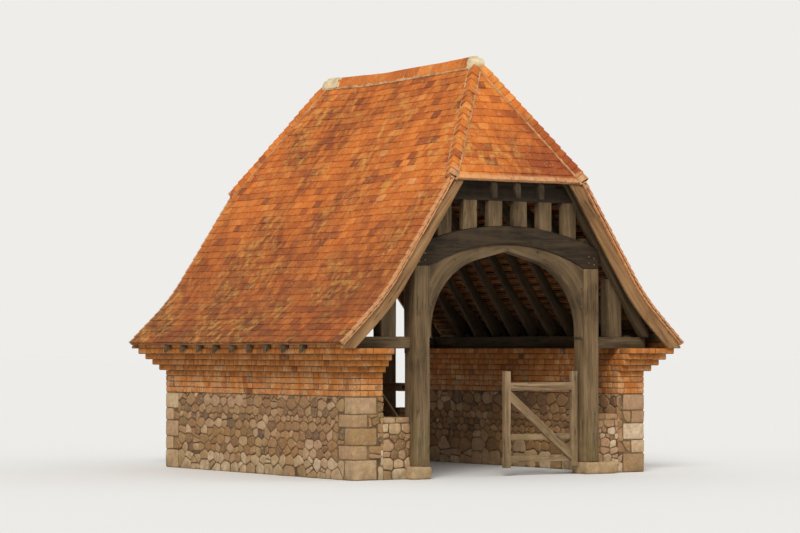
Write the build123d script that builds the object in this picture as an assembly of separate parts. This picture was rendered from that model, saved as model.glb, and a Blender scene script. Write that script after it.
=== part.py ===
from build123d import *
import os
from math import cos, radians, sin, sqrt, tan

# A lychgate: an oak frame with an arched opening at each end, stone side walls, and a
# half-hipped roof of plain tiles that flares out at the eaves. Millimetres. X runs across
# the passage, Y through it from the road side at -Y, and Z up. The origin is on the ground
# under the middle of the roof. The rear end repeats the front, without gates.

# Main timber frame
opening_width = 2320
post_width = 220
frame_length = 4820
tie_end_depth = 216
tie_shoulder_rise = 250
tie_soffit_rise = 280
tie_top_rise = 500

# Arch braces under the tie beam, four-centred, their heights taken from the post heads
arch_foot_drop = 880
arch_spring_drop = 790
arch_apex_rise = 195
arch_corner_radius = 900
arch_corner_turn = radians(76)
arch_shoulder = 35
brace_thickness = 160
brace_setback = 20

# Roof, measured on the tops of the tiles
main_pitch = radians(56.4)
flare_pitch = radians(43.4)
flare_radius = 2500
eave_overhang = 380
eave_rise = 80
verge_overhang = 240
hip_pitch = radians(58.9)
tile_layer = 60

# Roof timbers
rafter_depth = 100
rafter_width = 70
rafter_count = 9
principal_depth = 110
principal_width = 110
sprocket_depth = 60
sprocket_inset = 30
hip_rafter_width = 60
hip_rafter_depth = 190
jack_depth = 80
jack_spacing = 350
ridge_board_width = 40
ridge_board_depth = 190
bargeboard_depth = 150
bargeboard_thickness = 40
bargeboard_inset = 40
arcade_plate_width = 140
arcade_plate_depth = 130
wall_plate_width = 120
wall_plate_depth = 160
wall_plate_setback = 69
plate_bearing = 24

# Gable above the tie beam
gable_height = 310
collar_depth = 180
hip_plate_width = 120
hip_plate_depth = 187
gable_stud_width = 200
gable_stud_depth = 90
gable_stud_setback = 10
gable_stud_spacing = 375
gable_stud_count = 6

# Aisles between the posts and the side walls
aisle_width = 380
aisle_timber = 170
aisle_setback = 80
aisle_rail_depth = 140
aisle_stud_width = 200
aisle_stud_offset = 220

# Masonry
wall_thickness = 420
wall_setback = 100
stone_height = 984
brick_course = 72
plain_courses = 4
corbel_courses = 4
corbel_eave_inset = 100
filling_width = 110
dwarf_wall_height = 740
dwarf_wall_thickness = 220
padstone_margin = 55
padstone_long_reach = 250
padstone_height = 150

# Ridge and hip tiles
ridge_tile_radius = 110
ridge_tile_thickness = 20
ridge_tile_rise = 55
ridge_tile_lap = 55
hip_tile_width = 110
hip_tile_thickness = 25
hip_tile_joint = 4

# Gates
gate_setback = 90
gate_thickness = 60
gate_bottom = 100
gate_height = 1180
gate_post_gap = 40
gate_meeting_gap = 12
gate_open_angle = 90
stile_width = 90
top_rail_depth = 100
top_rail_drop = 240
rail_depth = 80
rail_thickness = 30
rail_heights = (165, 430)
gate_brace_width = 100
pin_radius = 8
pin_clearance = 0.3
eye_radius = 16
pivot_inset = 22
strap_width = 40
strap_thickness = 6
strap_length = 480
pintle_bar = 16

# Plan, worked out from the sizes above
post_inner = opening_width / 2
post_outer = post_inner + post_width
wall_inner = post_outer + aisle_width
wall_outer = wall_inner + wall_thickness
eave_half_width = wall_outer + eave_overhang
frame_front = -frame_length / 2
verge = frame_front - verge_overhang
wall_front = frame_front + wall_setback

# Brickwork, which runs out to the eaves and forward to the back of the bargeboards
corbel_bottom = stone_height + brick_course * plain_courses
wall_top = corbel_bottom + brick_course * corbel_courses
corbel_step_out = (eave_overhang - corbel_eave_inset) / corbel_courses
corbel_step_forward = (wall_front - verge - bargeboard_inset - bargeboard_thickness) / corbel_courses

# Roof, whose rafters bear on the wall plates
rafter_line = tile_layer + rafter_depth
principal_line = tile_layer + principal_depth
jack_line = tile_layer + jack_depth
plate_outer = wall_outer - wall_plate_setback
plate_top = wall_top + wall_plate_depth
ridge_height = plate_top + rafter_line / cos(main_pitch) + tan(main_pitch) * (plate_outer - plate_bearing)
eave_height = wall_top + eave_rise
beyond = 2 * ridge_height


def main_z(x, depth):
    """Height of the main roof slope at x, a depth below the tops of the tiles."""
    return ridge_height - depth / cos(main_pitch) - tan(main_pitch) * abs(x)


def main_x(z, depth):
    """Distance of the main roof slope from the middle at height z."""
    return (ridge_height - depth / cos(main_pitch) - z) / tan(main_pitch)


def flare_z(x, depth):
    """Height of the flared foot of the roof at x."""
    return eave_height - depth / cos(flare_pitch) + tan(flare_pitch) * (eave_half_width - abs(x))


# Frame under the roof: the ends of the tie beams meet the principal rafters over the posts
post_head_height = main_z(post_outer, principal_line) - tie_end_depth
tie_shoulder_height = post_head_height + tie_shoulder_rise
tie_soffit_height = post_head_height + tie_soffit_rise
tie_top_height = post_head_height + tie_top_rise
arch_foot_height = post_head_height - arch_foot_drop
arch_spring_height = post_head_height - arch_spring_drop
arch_apex_height = post_head_height + arch_apex_rise
collar_bottom = tie_top_height + gable_height
collar_top = collar_bottom + collar_depth

# Half-hips, whose rafters bear on the plate over the collar
hip_plate_top = collar_top + hip_plate_depth
hip_eave_height = hip_plate_top + jack_line / cos(hip_pitch) - tan(hip_pitch) * verge_overhang
hip_half_width = (ridge_height - hip_eave_height) / tan(main_pitch)
ridge_end = verge + (ridge_height - hip_eave_height) / tan(hip_pitch)
crown_gap = hip_rafter_width + rafter_width / 2

# Gate leaf: how far it reaches from the middle, its top rail and the iron straps on its rails
leaf_outer = post_inner - gate_post_gap
leaf_meeting = gate_meeting_gap / 2
gate_front = frame_front + gate_setback
gate_rear = gate_front + gate_thickness
gate_top = gate_bottom + gate_height
top_rail_bottom = gate_top - top_rail_drop
strap_heights = (rail_heights[0] + (rail_depth - strap_width) / 2,
                 top_rail_bottom + (top_rail_depth - strap_width) / 2)


def hip_z(y, depth):
    """Height of the front hip at y."""
    return hip_eave_height - depth / cos(hip_pitch) + tan(hip_pitch) * (y - verge)


def hip_y(z, depth):
    """Place of the front hip along Y at height z."""
    return verge + (z - hip_eave_height + depth / cos(hip_pitch)) / tan(hip_pitch)


def block(x0, x1, y0, y1, z0, z1):
    """A squared block between two corners."""
    return Pos((x0 + x1) / 2, (y0 + y1) / 2, (z0 + z1) / 2) * Box(x1 - x0, y1 - y0, z1 - z0)


def plank(edges, travel):
    """A solid made by moving a closed outline along a vector."""
    return Solid.extrude(Face(Wire(edges)), Vector(*travel))


def outline(points):
    """Straight edges around a list of points, closed."""
    return [Line(a, b).edge() for a, b in zip(points, points[1:] + points[:1])]


def across(points, y0, y1):
    """A solid whose outline is given by x and z, from y0 to y1."""
    return plank(outline([(x, y0, z) for x, z in points]), (0, y1 - y0, 0))


def along(points, x0, x1):
    """A solid whose outline is given by y and z, from x0 to x1."""
    return plank(outline([(x0, y, z) for y, z in points]), (x1 - x0, 0, 0))


def other_side(solid):
    """The same piece on the other side of the passage."""
    return mirror(solid, about=Plane.YZ)


def other_end(solid):
    """The same piece at the rear end."""
    return mirror(solid, about=Plane.XZ)


def all_corners(solid):
    """The same piece at the four corners of the building."""
    pair = [solid, other_side(solid)]
    return pair + [other_end(piece) for piece in pair]


def largest(shape):
    """The main piece of a cut shape, without its offcuts."""
    return shape.solids().sort_by(SortBy.VOLUME)[-1]


def save(name, *solids):
    """Writes one named piece, or several like ones, as a STEP file."""
    parts = [piece for solid in solids for piece in solid.solids()]
    shape = parts[0] if len(parts) == 1 else Compound(children=parts)
    export_step(shape, f"parts/{name}.step")


def save_both_sides(name, left):
    save(f"{name}_left", left)
    save(f"{name}_right", other_side(left))


def flare_centre():
    """Centre of the curve that joins the main slope to its flared foot, as x and z."""
    top = ridge_height + flare_radius / cos(main_pitch)
    foot = eave_height + flare_radius / cos(flare_pitch) + tan(flare_pitch) * eave_half_width
    x = (top - foot) / (tan(main_pitch) - tan(flare_pitch))
    return x, top - tan(main_pitch) * x


def flare_point(pitch, depth):
    """A point of the curve between the slope and its foot, where the roof has this pitch."""
    x, z = flare_centre()
    radius = flare_radius + depth
    return x - radius * sin(pitch), z - radius * cos(pitch)


def flare_start(depth):
    """Distance from the middle where the main slope and its flared foot would meet."""
    return (main_z(0, depth) - flare_z(0, depth)) / (tan(main_pitch) - tan(flare_pitch))


def roof_line(depth, x0, x1):
    """Points of a slope's outline at one depth: its ends and three on the curve."""
    pitches = (main_pitch, (main_pitch + flare_pitch) / 2, flare_pitch)
    bends = [flare_point(pitch, depth) for pitch in pitches]
    return [(x0, main_z(x0, depth)), *bends, (x1, flare_z(x1, depth))]


def roof_band(depth0, depth1, x0, x1, y0, y1):
    """A layer of the left slope between two depths, from x0 to x1, curved at its foot."""
    lines = [[(-x, y0, z) for x, z in roof_line(depth, x0, x1)] for depth in (depth0, depth1)]
    edges = [Line(lines[0][-1], lines[1][-1]).edge(), Line(lines[0][0], lines[1][0]).edge()]
    for start, bend, middle, foot, end in lines:
        edges.append(Line(start, bend).edge())
        edges.append(ThreePointArc(bend, middle, foot).edge())
        edges.append(Line(foot, end).edge())
    return plank(edges, (0, y1 - y0, 0))


def under_hips(solid, depth):
    """What is left of a solid under the two hip slopes, a depth below their tiles."""
    y0 = verge - beyond
    high = hip_z(0, depth)
    front = along([(y0, hip_z(y0, depth)), (0, high), (0, high + beyond), (y0, high + beyond)],
                  -beyond, beyond)
    return solid - front - other_end(front)


def mitre(side, depth):
    """The plane through a front hip line, between the hip and one main slope."""
    foot = Vector(side * hip_half_width, verge, hip_eave_height)
    top = Vector(0, ridge_end, ridge_height)
    inner_z = main_z(0, depth)
    inner = Vector(0, hip_y(inner_z, depth), inner_z)
    normal = (top - foot).cross(inner - foot)
    if normal.Y < 0:
        normal = normal * -1
    return Plane(origin=foot, x_dir=top - foot, z_dir=normal)


def tie_beam():
    """Cambered beam over the posts, flush with their outer faces and cut under the rafters."""
    y0 = frame_front
    shoulder = main_x(tie_shoulder_height, principal_line)
    end_top = main_z(post_outer, principal_line)
    soffit = ThreePointArc((-post_inner, y0, post_head_height), (0, y0, tie_soffit_height),
                           (post_inner, y0, post_head_height)).edge()
    crown = ThreePointArc((-shoulder, y0, tie_shoulder_height), (0, y0, tie_top_height),
                          (shoulder, y0, tie_shoulder_height)).edge()
    edges = [soffit, crown]
    for side in (-1, 1):
        corners = [(side * post_inner, y0, post_head_height), (side * post_outer, y0, post_head_height),
                   (side * post_outer, y0, end_top), (side * shoulder, y0, tie_shoulder_height)]
        edges += [Line(a, b).edge() for a, b in zip(corners, corners[1:])]
    return plank(edges, (0, post_width, 0))


def arch_brace(tie):
    """Curved brace from the left post to the middle of the tie beam."""
    y0 = frame_front + brace_setback
    face = -post_inner
    spring = face + arch_shoulder
    centre = spring + arch_corner_radius
    half_turn = arch_corner_turn / 2
    middle = (centre - arch_corner_radius * cos(half_turn), y0,
              arch_spring_height + arch_corner_radius * sin(half_turn))
    join = (centre - arch_corner_radius * cos(arch_corner_turn), y0,
            arch_spring_height + arch_corner_radius * sin(arch_corner_turn))
    apex = (0, y0, arch_apex_height)
    edges = [
        Line((face, y0, arch_foot_height), (spring, y0, arch_foot_height + arch_shoulder)).edge(),
        Line((spring, y0, arch_foot_height + arch_shoulder), (spring, y0, arch_spring_height)).edge(),
        ThreePointArc((spring, y0, arch_spring_height), middle, join).edge(),
        Line(join, apex).edge(),
        Line(apex, (0, y0, tie_top_height)).edge(),
        Line((0, y0, tie_top_height), (face, y0, tie_top_height)).edge(),
        Line((face, y0, tie_top_height), (face, y0, arch_foot_height)).edge(),
    ]
    solid = plank(edges, (0, brace_thickness, 0)) - tie
    return solid.solids().sort_by(Axis.Z)[0]


def post():
    return block(-post_outer, -post_inner, frame_front, frame_front + post_width,
                 padstone_height, post_head_height)


def padstone(reach):
    """Stone under a post, flush with it on the passage side and reaching out past its outer face."""
    return block(-post_outer - reach, -post_inner, frame_front - padstone_margin,
                 frame_front + post_width + padstone_margin, 0, padstone_height)


def side_wall():
    return block(-wall_outer, -wall_inner, wall_front, -wall_front, 0, stone_height)


def brick_corbel():
    """Brickwork on the stone wall: plain courses, then each laid further out than the one below."""
    solid = block(-wall_outer, -wall_inner, wall_front, -wall_front, stone_height, corbel_bottom)
    for course in range(corbel_courses):
        z0 = corbel_bottom + course * brick_course
        out = wall_outer + (course + 1) * corbel_step_out
        front = wall_front - (course + 1) * corbel_step_forward
        solid += block(-out, -wall_inner, front, -front, z0, z0 + brick_course)
    return solid + beam_filling()


def beam_filling():
    """Brickwork on the outer edge of the wall's top, packed round the rafters' feet up to the tiles."""
    far = wall_outer + corbel_courses * corbel_step_out
    near = far - filling_width
    front = wall_front - corbel_courses * corbel_step_forward
    solid = across([(-near, wall_top), (-far, wall_top), (-far, flare_z(far, tile_layer)),
                    (-near, flare_z(near, tile_layer))], front, -front)
    for rafter in common_rafters():
        solid -= rafter
    return solid


def dwarf_wall(reach):
    """Low wall that closes the foot of the gap between the post and the side wall."""
    solid = block(-wall_inner, -post_outer, wall_front, wall_front + dwarf_wall_thickness,
                  0, dwarf_wall_height)
    return solid - padstone(reach)


def aisle_frame():
    """Rail from the post to the top of the side wall, with a stud up to the rafter."""
    y0 = frame_front + aisle_setback
    y1 = y0 + aisle_timber
    rail_top = wall_top + aisle_rail_depth
    rail = block(-wall_outer, -post_outer, y0, y1, wall_top, rail_top)
    near = post_outer + aisle_stud_offset
    far = near + aisle_stud_width
    stud = across([(-near, rail_top), (-far, rail_top), (-far, main_z(far, principal_line)),
                   (-near, main_z(near, principal_line))], y0, y1)
    return rail + stud


def principal_rafter():
    """Rafter in the plane of the frame, from the aisle rail up to the hip."""
    foot = wall_top + aisle_rail_depth
    points = [(-main_x(foot, principal_line), foot), (-wall_outer, foot),
              (-wall_outer, main_z(wall_outer, tile_layer)),
              (0, main_z(0, tile_layer)), (0, main_z(0, principal_line))]
    solid = across(points, frame_front, frame_front + principal_width)
    return largest(under_hips(solid, jack_line) - hip_rafter())


def collar():
    """Beam across the gable under the hip."""
    low_x = main_x(collar_bottom, principal_line)
    high_x = main_x(collar_top, principal_line)
    points = [(-low_x, collar_bottom), (low_x, collar_bottom), (high_x, collar_top), (-high_x, collar_top)]
    return across(points, frame_front, frame_front + principal_width)


def hip_plate():
    """Plate on the collar that carries the rafters of the hip, its top edge cut to their slope."""
    y0 = frame_front
    y1 = y0 + hip_plate_width
    back = y0 + plate_bearing
    top = hip_z(back, jack_line)
    end = main_x(top, principal_line)
    plate = along([(y0, collar_top), (y1, collar_top), (y1, top), (back, top), (y0, hip_plate_top)],
                  -end, end)
    return largest(plate - hip_rafter() - other_side(hip_rafter()))


def gable_studs(tie):
    """Short uprights between the tie beam and the collar, the outer two cut under the rafters."""
    y0 = frame_front + gable_stud_setback
    rafters = principal_rafter() + other_side(principal_rafter())
    studs = []
    for index in range(gable_stud_count):
        x = (index - (gable_stud_count - 1) / 2) * gable_stud_spacing
        stud = block(x - gable_stud_width / 2, x + gable_stud_width / 2, y0, y0 + gable_stud_depth,
                     tie_shoulder_height, collar_bottom)
        studs.append(largest(stud - tie - rafters))
    return studs


def arcade_plate(tie):
    """Plate scribed over both tie beams that carries the rafters, its top edge cut to them."""
    middle = (post_inner + post_outer) / 2
    near = middle - arcade_plate_width / 2
    far = middle + arcade_plate_width / 2
    top = tie_shoulder_height + arcade_plate_depth
    y0 = frame_front + principal_width
    points = [(-near, tie_shoulder_height), (-far, tie_shoulder_height), (-far, main_z(far, rafter_line)),
              (-main_x(top, rafter_line), top), (-near, top)]
    return across(points, y0, -y0) - tie - other_end(tie)


def wall_plate():
    """Plate on the brickwork under the feet of the rafters, its top edge cut to them."""
    inner = plate_outer - wall_plate_width
    y0 = frame_front + aisle_setback + aisle_timber
    points = [(-inner, wall_top), (-plate_outer, wall_top), (-plate_outer, main_z(plate_outer, rafter_line)),
              (-plate_outer + plate_bearing, plate_top), (-inner, plate_top)]
    return across(points, y0, -y0)


def rafter_places():
    """Places of the rafters along Y, evenly spread between the ends of the ridge."""
    first = ridge_end + rafter_width / 2
    step = -2 * first / (rafter_count - 1)
    return [first + index * step for index in range(rafter_count)]


def common_rafter(y):
    """Straight rafter from the ridge board to the wall plate, with the sprocket on its back."""
    y0 = y - rafter_width / 2
    y1 = y + rafter_width / 2
    near = ridge_board_width / 2
    far = wall_outer
    bend = flare_start(tile_layer)
    start = flare_point(main_pitch, tile_layer)[0] - sprocket_depth
    end = eave_half_width - sprocket_inset
    rafter = across([(-near, main_z(near, tile_layer)), (-near, main_z(near, rafter_line)),
                     (-far, main_z(far, rafter_line)), (-far, main_z(far, tile_layer))], y0, y1)
    sprocket = roof_band(tile_layer, tile_layer + sprocket_depth, start, end, y0, y1)
    wedge = across([(-bend, main_z(bend, tile_layer)), (-far, main_z(far, tile_layer)),
                    (-far, flare_z(far, tile_layer + sprocket_depth / 2))], y0, y1)
    return rafter + sprocket + wedge


def common_rafters():
    return [common_rafter(y) for y in rafter_places()]


def hip_rafter():
    """Rafter under the left front hip line, its back cut to both slopes."""
    top_z = main_z(0, tile_layer)
    top = Vector(0, hip_y(top_z, tile_layer), top_z)
    foot_z = hip_z(verge, tile_layer)
    foot = Vector(-main_x(foot_z, tile_layer), verge, foot_z)
    run = foot - top
    sideways = Vector(run.Y, -run.X, 0).normalized() * hip_rafter_width
    drop = Vector(0, 0, -hip_rafter_depth)
    corners = [corner - sideways / 2 for corner in (top, foot, foot + drop, top + drop)]
    solid = plank(outline([tuple(corner) for corner in corners]), tuple(sideways))
    above = across([(0, top_z), (-beyond, main_z(beyond, tile_layer)), (-beyond, beyond), (0, beyond)],
                   verge - beyond, 0)
    board = verge + bargeboard_inset + bargeboard_thickness
    keep = block(-beyond, -ridge_board_width / 2, board, ridge_end, 0, beyond)
    return under_hips(solid - above, tile_layer) & keep


def jack_rafters():
    """Short rafters of the front hip, over the hip plate: one up to the ridge, two to the hips."""
    hips = hip_rafter() + other_side(hip_rafter())
    y0 = verge + sprocket_inset
    y1 = ridge_end - crown_gap
    points = [(y0, hip_z(y0, tile_layer)), (y1, hip_z(y1, tile_layer)),
              (y1, hip_z(y1, jack_line)), (y0, hip_z(y0, jack_line))]
    jacks = []
    for x in (-jack_spacing, 0, jack_spacing):
        jack = along(points, x - rafter_width / 2, x + rafter_width / 2) - hips
        jacks.append(jack.solids().sort_by(Axis.Y)[0])
    return jacks


def ridge_board():
    half = ridge_board_width / 2
    top = main_z(half, tile_layer)
    y0 = ridge_end - crown_gap
    solid = block(-half, half, y0, -y0, top - ridge_board_depth, top)
    return under_hips(solid, tile_layer)


def roof_slope():
    """Tiles and battens of the left slope, mitred to the hips."""
    solid = roof_band(0, tile_layer, 0, eave_half_width, verge, -verge)
    cutter = mitre(-1, tile_layer)
    solid = split(solid, bisect_by=cutter, keep=Keep.TOP)
    solid = split(other_end(solid), bisect_by=cutter, keep=Keep.TOP)
    return other_end(solid)


def hip_slope():
    """Tiles and battens of the front hip."""
    solid = along([(verge, hip_z(verge, 0)), (0, hip_z(0, 0)), (0, hip_z(0, tile_layer)),
                   (verge, hip_z(verge, tile_layer))], -eave_half_width, eave_half_width)
    for side in (-1, 1):
        solid = split(solid, bisect_by=mitre(side, tile_layer), keep=Keep.BOTTOM)
    return solid


def bargeboard():
    """Board under the tiles of the left verge, following the flare of the roof to the wall's top."""
    y0 = verge + bargeboard_inset
    foot = eave_half_width - sprocket_inset
    solid = roof_band(tile_layer, tile_layer + bargeboard_depth, 0, foot, y0, y0 + bargeboard_thickness)
    below = block(-beyond, 0, verge - beyond, 0, 0, wall_top)
    return under_hips(solid, tile_layer) - below


def ridge_tiles():
    """Half-round tiles along the ridge, bedded on both slopes."""
    centre = ridge_height + ridge_tile_rise - ridge_tile_radius
    y0 = ridge_end - ridge_tile_lap
    reach = 2 * ridge_tile_radius
    ring = Cylinder(ridge_tile_radius, -2 * y0) - Cylinder(ridge_tile_radius - ridge_tile_thickness, -2 * y0)
    ring = Pos(0, 0, centre) * Rot(90, 0, 0) * ring
    foot = main_z(reach, 0)
    peak = across([(0, ridge_height), (reach, foot), (-reach, foot)], y0 - reach, reach - y0)
    return ring - peak - block(-reach, reach, y0 - reach, reach - y0, 0, foot)


def hip_tiles():
    """Capping along the left front hip line, lying on both slopes."""
    raised = -hip_tile_thickness
    foot = Vector(-hip_half_width, verge, hip_eave_height)
    top = Vector(0, ridge_end, ridge_height)
    run = top - foot
    bar_plane = Plane(origin=foot, x_dir=Vector(-run.Y, run.X, 0), z_dir=run)
    bar = extrude(bar_plane * Rectangle(2 * hip_tile_width, 4 * hip_tile_width), run.length)
    slope = across([(0, main_z(0, 0)), (-beyond, main_z(beyond, 0)), (-beyond, main_z(beyond, raised)),
                    (0, main_z(0, raised))], verge - beyond, 0)
    slope = split(slope, bisect_by=mitre(-1, tile_layer), keep=Keep.TOP)
    y0 = verge - beyond
    hip = along([(y0, hip_z(y0, 0)), (0, hip_z(0, 0)), (0, hip_z(0, raised)), (y0, hip_z(y0, raised))],
                -beyond, beyond)
    hip = split(hip, bisect_by=mitre(-1, tile_layer), keep=Keep.BOTTOM)
    keep = block(-beyond, -hip_tile_joint / 2, verge, ridge_end - ridge_tile_lap, 0, beyond)
    return ((slope + hip) & bar) & keep


def gate_stiles():
    """Upright members of the closed left gate leaf: the hanging stile and the meeting stile."""
    places = (-leaf_outer, -leaf_meeting - stile_width)
    return [block(x, x + stile_width, gate_front, gate_rear, gate_bottom, gate_top) for x in places]


def rail_ends():
    """The faces of the two stiles that hold the rails and the brace."""
    return -leaf_outer + stile_width, -leaf_meeting - stile_width


def gate_rails():
    """Rails of the closed left leaf, between its stiles: the top one is as thick as they are."""
    x0, x1 = rail_ends()
    rails = [block(x0, x1, gate_front, gate_rear, top_rail_bottom, top_rail_bottom + top_rail_depth)]
    for z in rail_heights:
        rails.append(block(x0, x1, gate_rear - rail_thickness, gate_rear, z, z + rail_depth))
    return rails


def gate_brace():
    """Diagonal in front of the low rails, from the hanging stile's foot up to the top rail."""
    x0, x1 = rail_ends()
    z0 = rail_heights[0]
    z1 = top_rail_bottom
    span = sqrt((x1 - x0) ** 2 + (z1 - z0) ** 2)
    rise = gate_brace_width * span / (x1 - x0)
    points = [(x0, z0), (x1, z1 - rise), (x1, z1), (x0, z0 + rise)]
    return across(points, gate_front, gate_rear - rail_thickness)


def pivot():
    """Place of the left gate's hinge axis, as x and y."""
    return -(post_inner - pivot_inset), gate_rear


def gate_straps():
    """Iron straps on the rear face of the closed left leaf, with eyes that turn on the pins."""
    x, y = pivot()
    straps = []
    for z in strap_heights:
        middle = z + strap_width / 2
        eye = Pos(x, y, middle) * Cylinder(eye_radius, strap_width)
        flat = block(x, x + strap_length, y, y + strap_thickness, z, z + strap_width)
        hole = Pos(x, y, middle) * Cylinder(pin_radius + pin_clearance, strap_width)
        straps.append(eye + flat - hole)
    return straps


def gate_pintles():
    """Hooks driven into the left post, each with a pin for a strap's eye."""
    x, y = pivot()
    hooks = []
    for z in strap_heights:
        top = z - pin_clearance
        pin = Pos(x, y, (top + z + strap_width) / 2) * Cylinder(pin_radius, z + strap_width - top)
        bar = block(-post_inner, x + pintle_bar / 2, y - pintle_bar / 2, y + pintle_bar / 2,
                    top - pintle_bar, top)
        hooks.append(bar + pin)
    return hooks


def opened(solid):
    """A piece of the left leaf, swung inwards on its hinges."""
    x, y = pivot()
    return solid.rotate(Axis((x, y, 0), (0, 0, 1)), gate_open_angle)


def save_gate(name, solids):
    """The left leaf stands open and the right one is closed."""
    save(f"left_gate_{name}", *[opened(solid) for solid in solids])
    save(f"right_gate_{name}", *[other_side(solid) for solid in solids])


def save_masonry():
    """The right post at the road side stands on a longer stone than the other three."""
    save_both_sides("side_wall", side_wall())
    save_both_sides("brick_corbel", brick_corbel())
    for name, piece in (("dwarf_walls", dwarf_wall), ("padstones", padstone)):
        left, right, *rear = all_corners(piece(padstone_margin))
        save(name, left, other_side(piece(padstone_long_reach)), *rear)


def save_end_frames():
    tie = tie_beam()
    brace = arch_brace(tie)
    aisle = aisle_frame()
    studs = gable_studs(tie)
    for end, place in (("front", lambda solid: solid), ("rear", other_end)):
        save(f"{end}_tie_beam", place(tie))
        save(f"{end}_posts", place(post()), place(other_side(post())))
        save(f"{end}_arch_brace_left", place(brace))
        save(f"{end}_arch_brace_right", place(other_side(brace)))
        save(f"{end}_aisle_frames", place(aisle), place(other_side(aisle)))
        save(f"{end}_gable_studs", *[place(stud) for stud in studs])
    save("collars", collar(), other_end(collar()))
    save("hip_plates", hip_plate(), other_end(hip_plate()))
    save("principal_rafters", *all_corners(principal_rafter()))


def save_roof():
    arcade = arcade_plate(tie_beam())
    save("arcade_plates", arcade, other_side(arcade))
    save("wall_plates", wall_plate(), other_side(wall_plate()))
    rafters = common_rafters()
    save("common_rafters_left", *rafters)
    save("common_rafters_right", *[other_side(rafter) for rafter in rafters])
    save("ridge_board", ridge_board())
    save_both_sides("roof_slope", roof_slope())
    save("ridge_tiles", ridge_tiles())
    save("hip_tiles", *all_corners(hip_tiles()))
    timbers = [hip_rafter(), other_side(hip_rafter()), *jack_rafters()]
    board = bargeboard()
    for end, place in (("front", lambda solid: solid), ("rear", other_end)):
        save(f"{end}_hip_slope", place(hip_slope()))
        save(f"{end}_hip_rafters", *[place(timber) for timber in timbers])
        save(f"{end}_bargeboards", place(board), place(other_side(board)))


def save_gates():
    save_gate("stiles", gate_stiles())
    save_gate("rails", gate_rails())
    save_gate("brace", [gate_brace()])
    save_gate("straps", gate_straps())
    hooks = gate_pintles()
    save("gate_pintles", *hooks, *[other_side(hook) for hook in hooks])


os.makedirs("parts", exist_ok=True)
save_masonry()
save_end_frames()
save_roof()
save_gates()
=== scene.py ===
from functools import lru_cache
from math import cos, dist, pi, radians, sin, tan

import bmesh
import bpy
import numpy as np
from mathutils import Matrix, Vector, noise


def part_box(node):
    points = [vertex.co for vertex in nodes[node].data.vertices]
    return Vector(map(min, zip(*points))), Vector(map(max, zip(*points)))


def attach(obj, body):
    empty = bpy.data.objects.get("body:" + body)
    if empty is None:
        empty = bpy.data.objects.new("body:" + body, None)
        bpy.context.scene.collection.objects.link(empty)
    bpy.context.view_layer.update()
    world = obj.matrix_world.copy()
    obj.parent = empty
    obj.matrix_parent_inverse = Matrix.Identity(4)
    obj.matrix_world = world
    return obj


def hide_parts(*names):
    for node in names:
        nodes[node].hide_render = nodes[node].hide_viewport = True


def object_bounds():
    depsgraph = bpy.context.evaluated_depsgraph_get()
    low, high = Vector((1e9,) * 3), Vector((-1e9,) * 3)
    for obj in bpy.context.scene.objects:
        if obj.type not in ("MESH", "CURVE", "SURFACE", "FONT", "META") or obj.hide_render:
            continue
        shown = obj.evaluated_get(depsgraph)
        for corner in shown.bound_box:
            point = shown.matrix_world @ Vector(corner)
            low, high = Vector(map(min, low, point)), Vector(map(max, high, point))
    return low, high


# The looks of the lychgate: tiles, stones, bricks and weathered oak around the CAD frame.
# Metres, in the frame's axes: X across the passage, -Y the road side, Z up.

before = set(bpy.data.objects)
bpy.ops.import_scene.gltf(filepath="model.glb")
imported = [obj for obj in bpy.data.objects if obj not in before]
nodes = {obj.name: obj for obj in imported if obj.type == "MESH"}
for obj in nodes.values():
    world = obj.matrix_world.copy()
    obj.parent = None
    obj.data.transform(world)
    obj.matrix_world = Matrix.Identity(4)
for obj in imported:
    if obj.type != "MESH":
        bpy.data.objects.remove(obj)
cad_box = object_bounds()

# Without a seed Blender's noise starts from the clock, and no two runs are the same
NOISE_SEED = 7
noise.seed_set(NOISE_SEED)

# Camera: the photograph's eye point, with a longer lens so that the lychgate fills the frame
EYE = Vector((-19.3, -29.3, 1.55))
LOOK_AT = Vector((0.0, 0.0, 2.62))
LENS = 122
FLOOR_REACH = 400

# Timber: the arch braces' corners and shoulder and the posts' inner faces, as in the frame
ARCH_RADIUS = 0.9
ARCH_TURN = radians(76)
ARCH_SHOULDER = 0.035
ARCH_SPRING_RISE = 0.09
AISLE_RAIL_DEPTH = 0.14
POST_INNER = 1.16
JOINT_LINE = 0.0006

# Roof: pitches and the curve at the foot, as in the frame, and the tiles' own sizes
MAIN_PITCH = radians(56.4)
FLARE_PITCH = radians(43.4)
HIP_PITCH = radians(58.9)
FLARE_RADIUS = 2.5
TILE_LAYER = 0.06
GAUGE = 0.106
TILE_WIDTH = 0.166
TILE_LENGTH = 0.262
TILE_THICKNESS = 0.013
TILE_GAP = 0.0028
TILE_BED = 3 * TILE_THICKNESS - 0.002
TILE_STEPS = (0.0, 0.005, 0.12, 1.0)
TILE_COLUMNS = (-1.0, -0.94, 0.0, 0.94, 1.0)
BATTEN_DEPTH = 0.022
BATTEN_WIDTH = 0.038
CAP_STEPS = (0.0, 0.03, 0.5, 1.0)
RIDGE_TILE_LENGTH = 0.32
RIDGE_REACH = 0.122
RIDGE_RISE = 0.034
RIDGE_THICKNESS = 0.017
RIDGE_SAG = 0.03
RIDGE_END_MORTAR = (0.17, 0.34)
RIDGE_LUMP = (0.21, 0.15, 0.18)
BONNET_REACH = 0.094
BONNET_RISE = 0.026
BONNET_TAPER = 0.62
BONNET_LIFT = 0.017
BONNET_STOP = 0.2
BEDDING_INSET = 0.006
BEDDING_REACH = 0.086
UNDERCLOAK_DEPTH = 0.012
UNDERCLOAK_WIDTH = 0.19

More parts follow.
